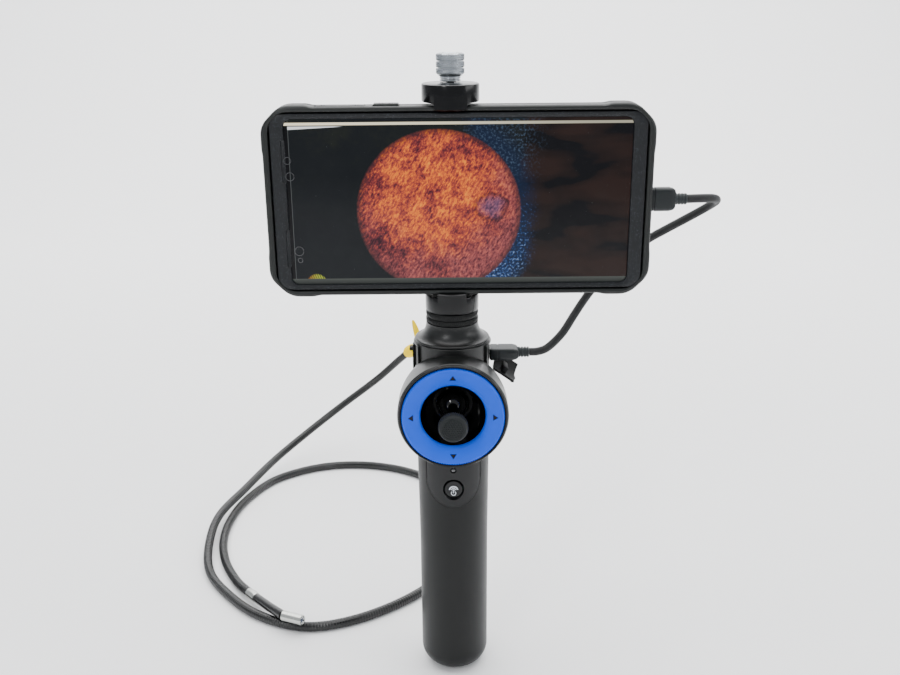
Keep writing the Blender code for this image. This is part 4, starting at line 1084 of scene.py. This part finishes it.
def build_phone():
    """Rugged case, flaked frame, the phone in it and its lit screen."""
    centre = (PHONE_X, PHONE_Z)
    w, h = CASE_W, CASE_H
    shell = case_loft([(3.5, w - 4.4, h - 4.4, 8.0, 0.5), (3.3, w - 2.8, h - 2.8, 8.4, 0.7),
        (2.6, w - 0.9, h - 0.9, 8.8, 0.9), (1.4, w, h, 9.0, 1.1), (-1.6, w, h, 9.0, 1.1),
        (-2.0, w - 0.5, h - 0.5, 8.9, 1.0), (-2.5, w - 0.5, h - 0.5, 8.9, 1.0), (-2.9, w, h, 9.0, 1.1),
        (-7.4, w, h, 9.0, 1.1), (-8.3, w - 0.6, h - 0.6, 8.8, 1.0), (-8.85, w - 1.8, h - 1.8, 8.4, 0.7),
        (-9.0, w - 3.2, h - 3.2, 8.0, 0.3), (-9.0, 170.6, 83.4, 6.2, 0.0), (-8.7, 169.2, 82.0, 5.8, 0.0),
        (-8.2, 168.7, 81.5, 5.6, 0.0), (1.4, 168.7, 81.5, 5.6, 0.0)], centre)
    top = PHONE_Z + h / 2
    cuts = [socket_cut(1.2, 4),
            plate([(-1, 22, 28, 5), (8, 22, 28, 5)], (PHONE_X - 62, PHONE_Z + 18))]
    for left, right in ((-60, -38), (-34.2, -22.8)):
        cuts.append(block((left - 0.3, -6.8, top - 2.2), (right + 0.3, -0.6, top + 3), 0.4, 2))
    shell = carved(shell, *cuts)
    make("case_shell", shell, CASE, "holder", "phone_case", smooth=35)

    raised = []
    for k in range(5):
        x = PHONE_X + 8 + 12 * k
        raised.append(block((x, 3.3, PHONE_Z - 30), (x + 6, 4.1, PHONE_Z + 30), 0.35, 2))
    make("case_ridges", joined(*raised), CASE, "holder", seat="rubber")
    for name, left, right in (("volume_key", -60, -38), ("power_key", -34.2, -22.8)):
        crest = top + (0.2 if name == "power_key" else -0.5)
        pad = carved(block((left, -6.5, top - 1.9), (right, -0.9, crest), 0.6, 4),
            *(block((x, -5.2, crest - 0.25), (x + 0.5, -2.2, top + 2), 0.05, 1)
            for x in (left + 2.6, left + 3.8, right - 3.1, right - 4.3)))
        make(f"{name}_pad", pad, CASE, name, f"{name}_cover", smooth=35)

    rim = plate([(0.8, 167.6, 80.4, 6.2), (-8.0, 167.6, 80.4, 6.2), (-8.45, 167.2, 80.0, 6.1),
        (-8.7, 166.4, 79.2, 5.9), (-8.7, 156.6, 77.4, 4.4), (-8.45, 155.2, 76.0, 3.8),
        (-7.9, 154.6, 75.4, 3.5), (-7.6, 154.6, 75.4, 3.5), (-7.6, 164.0, 78.6, 5.5),
        (0.8, 164.0, 78.6, 5.5)], centre, steps=14, ring=True)
    edge = PHONE_X - 77.3
    rim = carved(rim, socket_cut(0.4, 2), block((edge - 1.7, -12, 258.0), (edge + 3, -7.7, 277.0), 0.8, 3),
        block((edge - 1.7, -12, 219.0), (edge + 3, -7.7, 236.5), 0.8, 3))
    make("frame_rim", rim, FLAKE, "holder", "case_frame", smooth=30)
    body = plate([(-6.6, 162.6, 77.2, 4.8), (-6.3, 163.4, 78, 5.2), (-1.2, 163.4, 78, 5.2),
        (-0.2, 162.4, 77, 4.9), (0.8, 160.4, 75, 4.0)], centre, steps=14)
    body = carved(body, block((PHONE_X + 74.7, PLUG_Y - 1.4, PHONE_Z - 4.4),
        (PHONE_X + 83, PLUG_Y + 1.4, PHONE_Z + 4.4), 1.2, 4))
    make("phone_shell", body, GLOSS, "holder", "phone_body", smooth=30)
    make("screen_glass", plate([(-7.6, 161.2, 76.0, 4.4), (-7.5, 161.6, 76.4, 4.5),
        (-7.3, 161.8, 76.6, 4.6), (-6.9, 162.6, 77.4, 5)], centre, steps=14), SCREEN, "holder",
        "phone_screen", smooth=30)
    rings = []
    for x, z, r in ((-73.0, 267.7, 1.7), (-72.2, 260.6, 2.0), (-69.9, 226.3, 2.2), (-69.6, 222.0, 1.2)):
        rings.append(band((x, z), r - 0.28, r, 0, 360, -7.55, -7.75, 32))
    make("guard_holes", joined(*rings), COVER, "holder", seat="clear")
    build_rear_camera()


def build_rear_camera():
    """A small island with three lenses on the back of the phone."""
    place = (PHONE_X - 62, PHONE_Z + 18)
    island = plate([(1.1, 20.6, 26.6, 4.4), (2.3, 20.6, 26.6, 4.4), (2.6, 20.0, 26.0, 4.2)], place)
    make("camera_island", island, COVER, "holder", "rear_camera", smooth=30)
    eyes = []
    for x, z, r in ((-4.2, 7.0, 4.0), (-4.2, -3.0, 4.0), (5.0, 2.0, 3.0)):
        eyes.append(turned([(0, 2.3), (r, 2.3), (r, 3.2), (r - 0.4, 3.4), (r - 0.9, 3.4), (r - 1.2, 3.0),
            (0, 2.9)], (place[0] + x, 0, place[1] + z), (0, 1, 0), 40))
    make("camera_eyes", joined(*eyes), LENS, "holder", seat="clear")


# ---- plugs

def build_plug(side, body, base, wide_axis):
    """A rounded plug shell pointing along X, with a grooved strain relief."""
    name = f"{side}_plug"
    w, h = (6.0, 10.8) if wide_axis == "Z" else (10.8, 6.0)
    shell = plate([(0, w - 1.4, h - 1.4, 1.5), (0.35, w - 0.5, h - 0.5, 1.8), (0.9, w, h, 2.0),
        (3.9, w, h, 2.0), (4.1, w - 0.4, h - 0.4, 1.9), (4.5, w - 0.4, h - 0.4, 1.9), (4.7, w, h, 2.0),
        (11.4, w, h, 2.0), (13.2, w - 0.7, h - 0.9, 1.8), (14.0, w - 1.4, h - 2.2, 1.6),
        (14.2, w - 2.2, h - 3.4, 1.2)], (0, 0), steps=8)
    turn = Matrix.Rotation(radians(-90), 4, "Z")
    shell.transform(Matrix.Translation(base) @ turn)
    make(f"{name}_body", shell, PLUG, body, name, smooth=30)
    relief = [(0, 13.9), (2.55, 13.9), (2.6, 14.2)]
    for k in range(3):
        s = 15.0 + 1.45 * k
        relief += [(2.6, s), (2.2, s + 0.15), (2.2, s + 0.5), (2.6, s + 0.65)]
    relief += [(2.6, 19.1), (2.35, 19.4), (0, 19.4)]
    make(f"{name}_relief", turned(relief, base, (1, 0, 0), 40), RELIEF, body, seat="plug")


# ---- setting

def build_setting():
    """A pale floor that curves up behind, under one broad light and a narrow key light."""
    profile = [(-2500, 0), (900, 0)]
    profile += [(900 + 600 * sin(a), 600 - 600 * cos(a)) for a in (pi / 2 * i / 12 for i in range(1, 13))]
    profile += [(1500, 2400)]
    mesh = bmesh.new()
    rows = [[mesh.verts.new((x, y, z)) for x in (-3000, -1000, 1000, 3000)] for y, z in profile]
    for a, b in zip(rows, rows[1:]):
        for i in range(3):
            mesh.faces.new((a[i], a[i + 1], b[i + 1], b[i]))
    pale = grained("floor_pale", (0.90, 0.90, 0.90), 0.75, 60.0, 0.02, spread=0.01, shine=0.1)
    make("floor", mesh, pale, None)
    world = bpy.data.worlds.new("studio")
    world.use_nodes = True
    sky = world.node_tree.nodes["Background"]
    sky.inputs["Color"].default_value = (0.92, 0.95, 1.0, 1.0)
    sky.inputs["Strength"].default_value = 0.75
    bpy.context.scene.world = world
    area_light("top_soft", (0.0, 0.45, 1.7), (0, 0.45, 0), (2.4, 1.8), 62.0)
    area_light("key_strip", (-0.42, -0.80, 0.75), (0, 0, 0.2), (0.10, 0.42), 3.2)
    area_light("rim_right", (1.0, -0.1, 0.5), (0, 0, 0.2), (0.25, 0.8), 3.0)
    area_light("back_soft", (0.0, 0.9, 1.3), (0, 1.5, 0.9), (2.2, 0.6), 22.0)


build_camera()
build_setting()
build_probe()
build_lead()
build_grip()
build_head()
build_ports()
build_clamp()
build_phone()
build_plug("phone", "holder", (PHONE_X + 84.4, PLUG_Y, PHONE_Z), "Z")
build_plug("handle", "handle", (18.0, PORT_Y, PORT_Z), "Y")
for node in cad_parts.values():
    for slot in node.material_slots:
        slot.material = CAD_FINISH[slot.material.name.split(".")[0]]
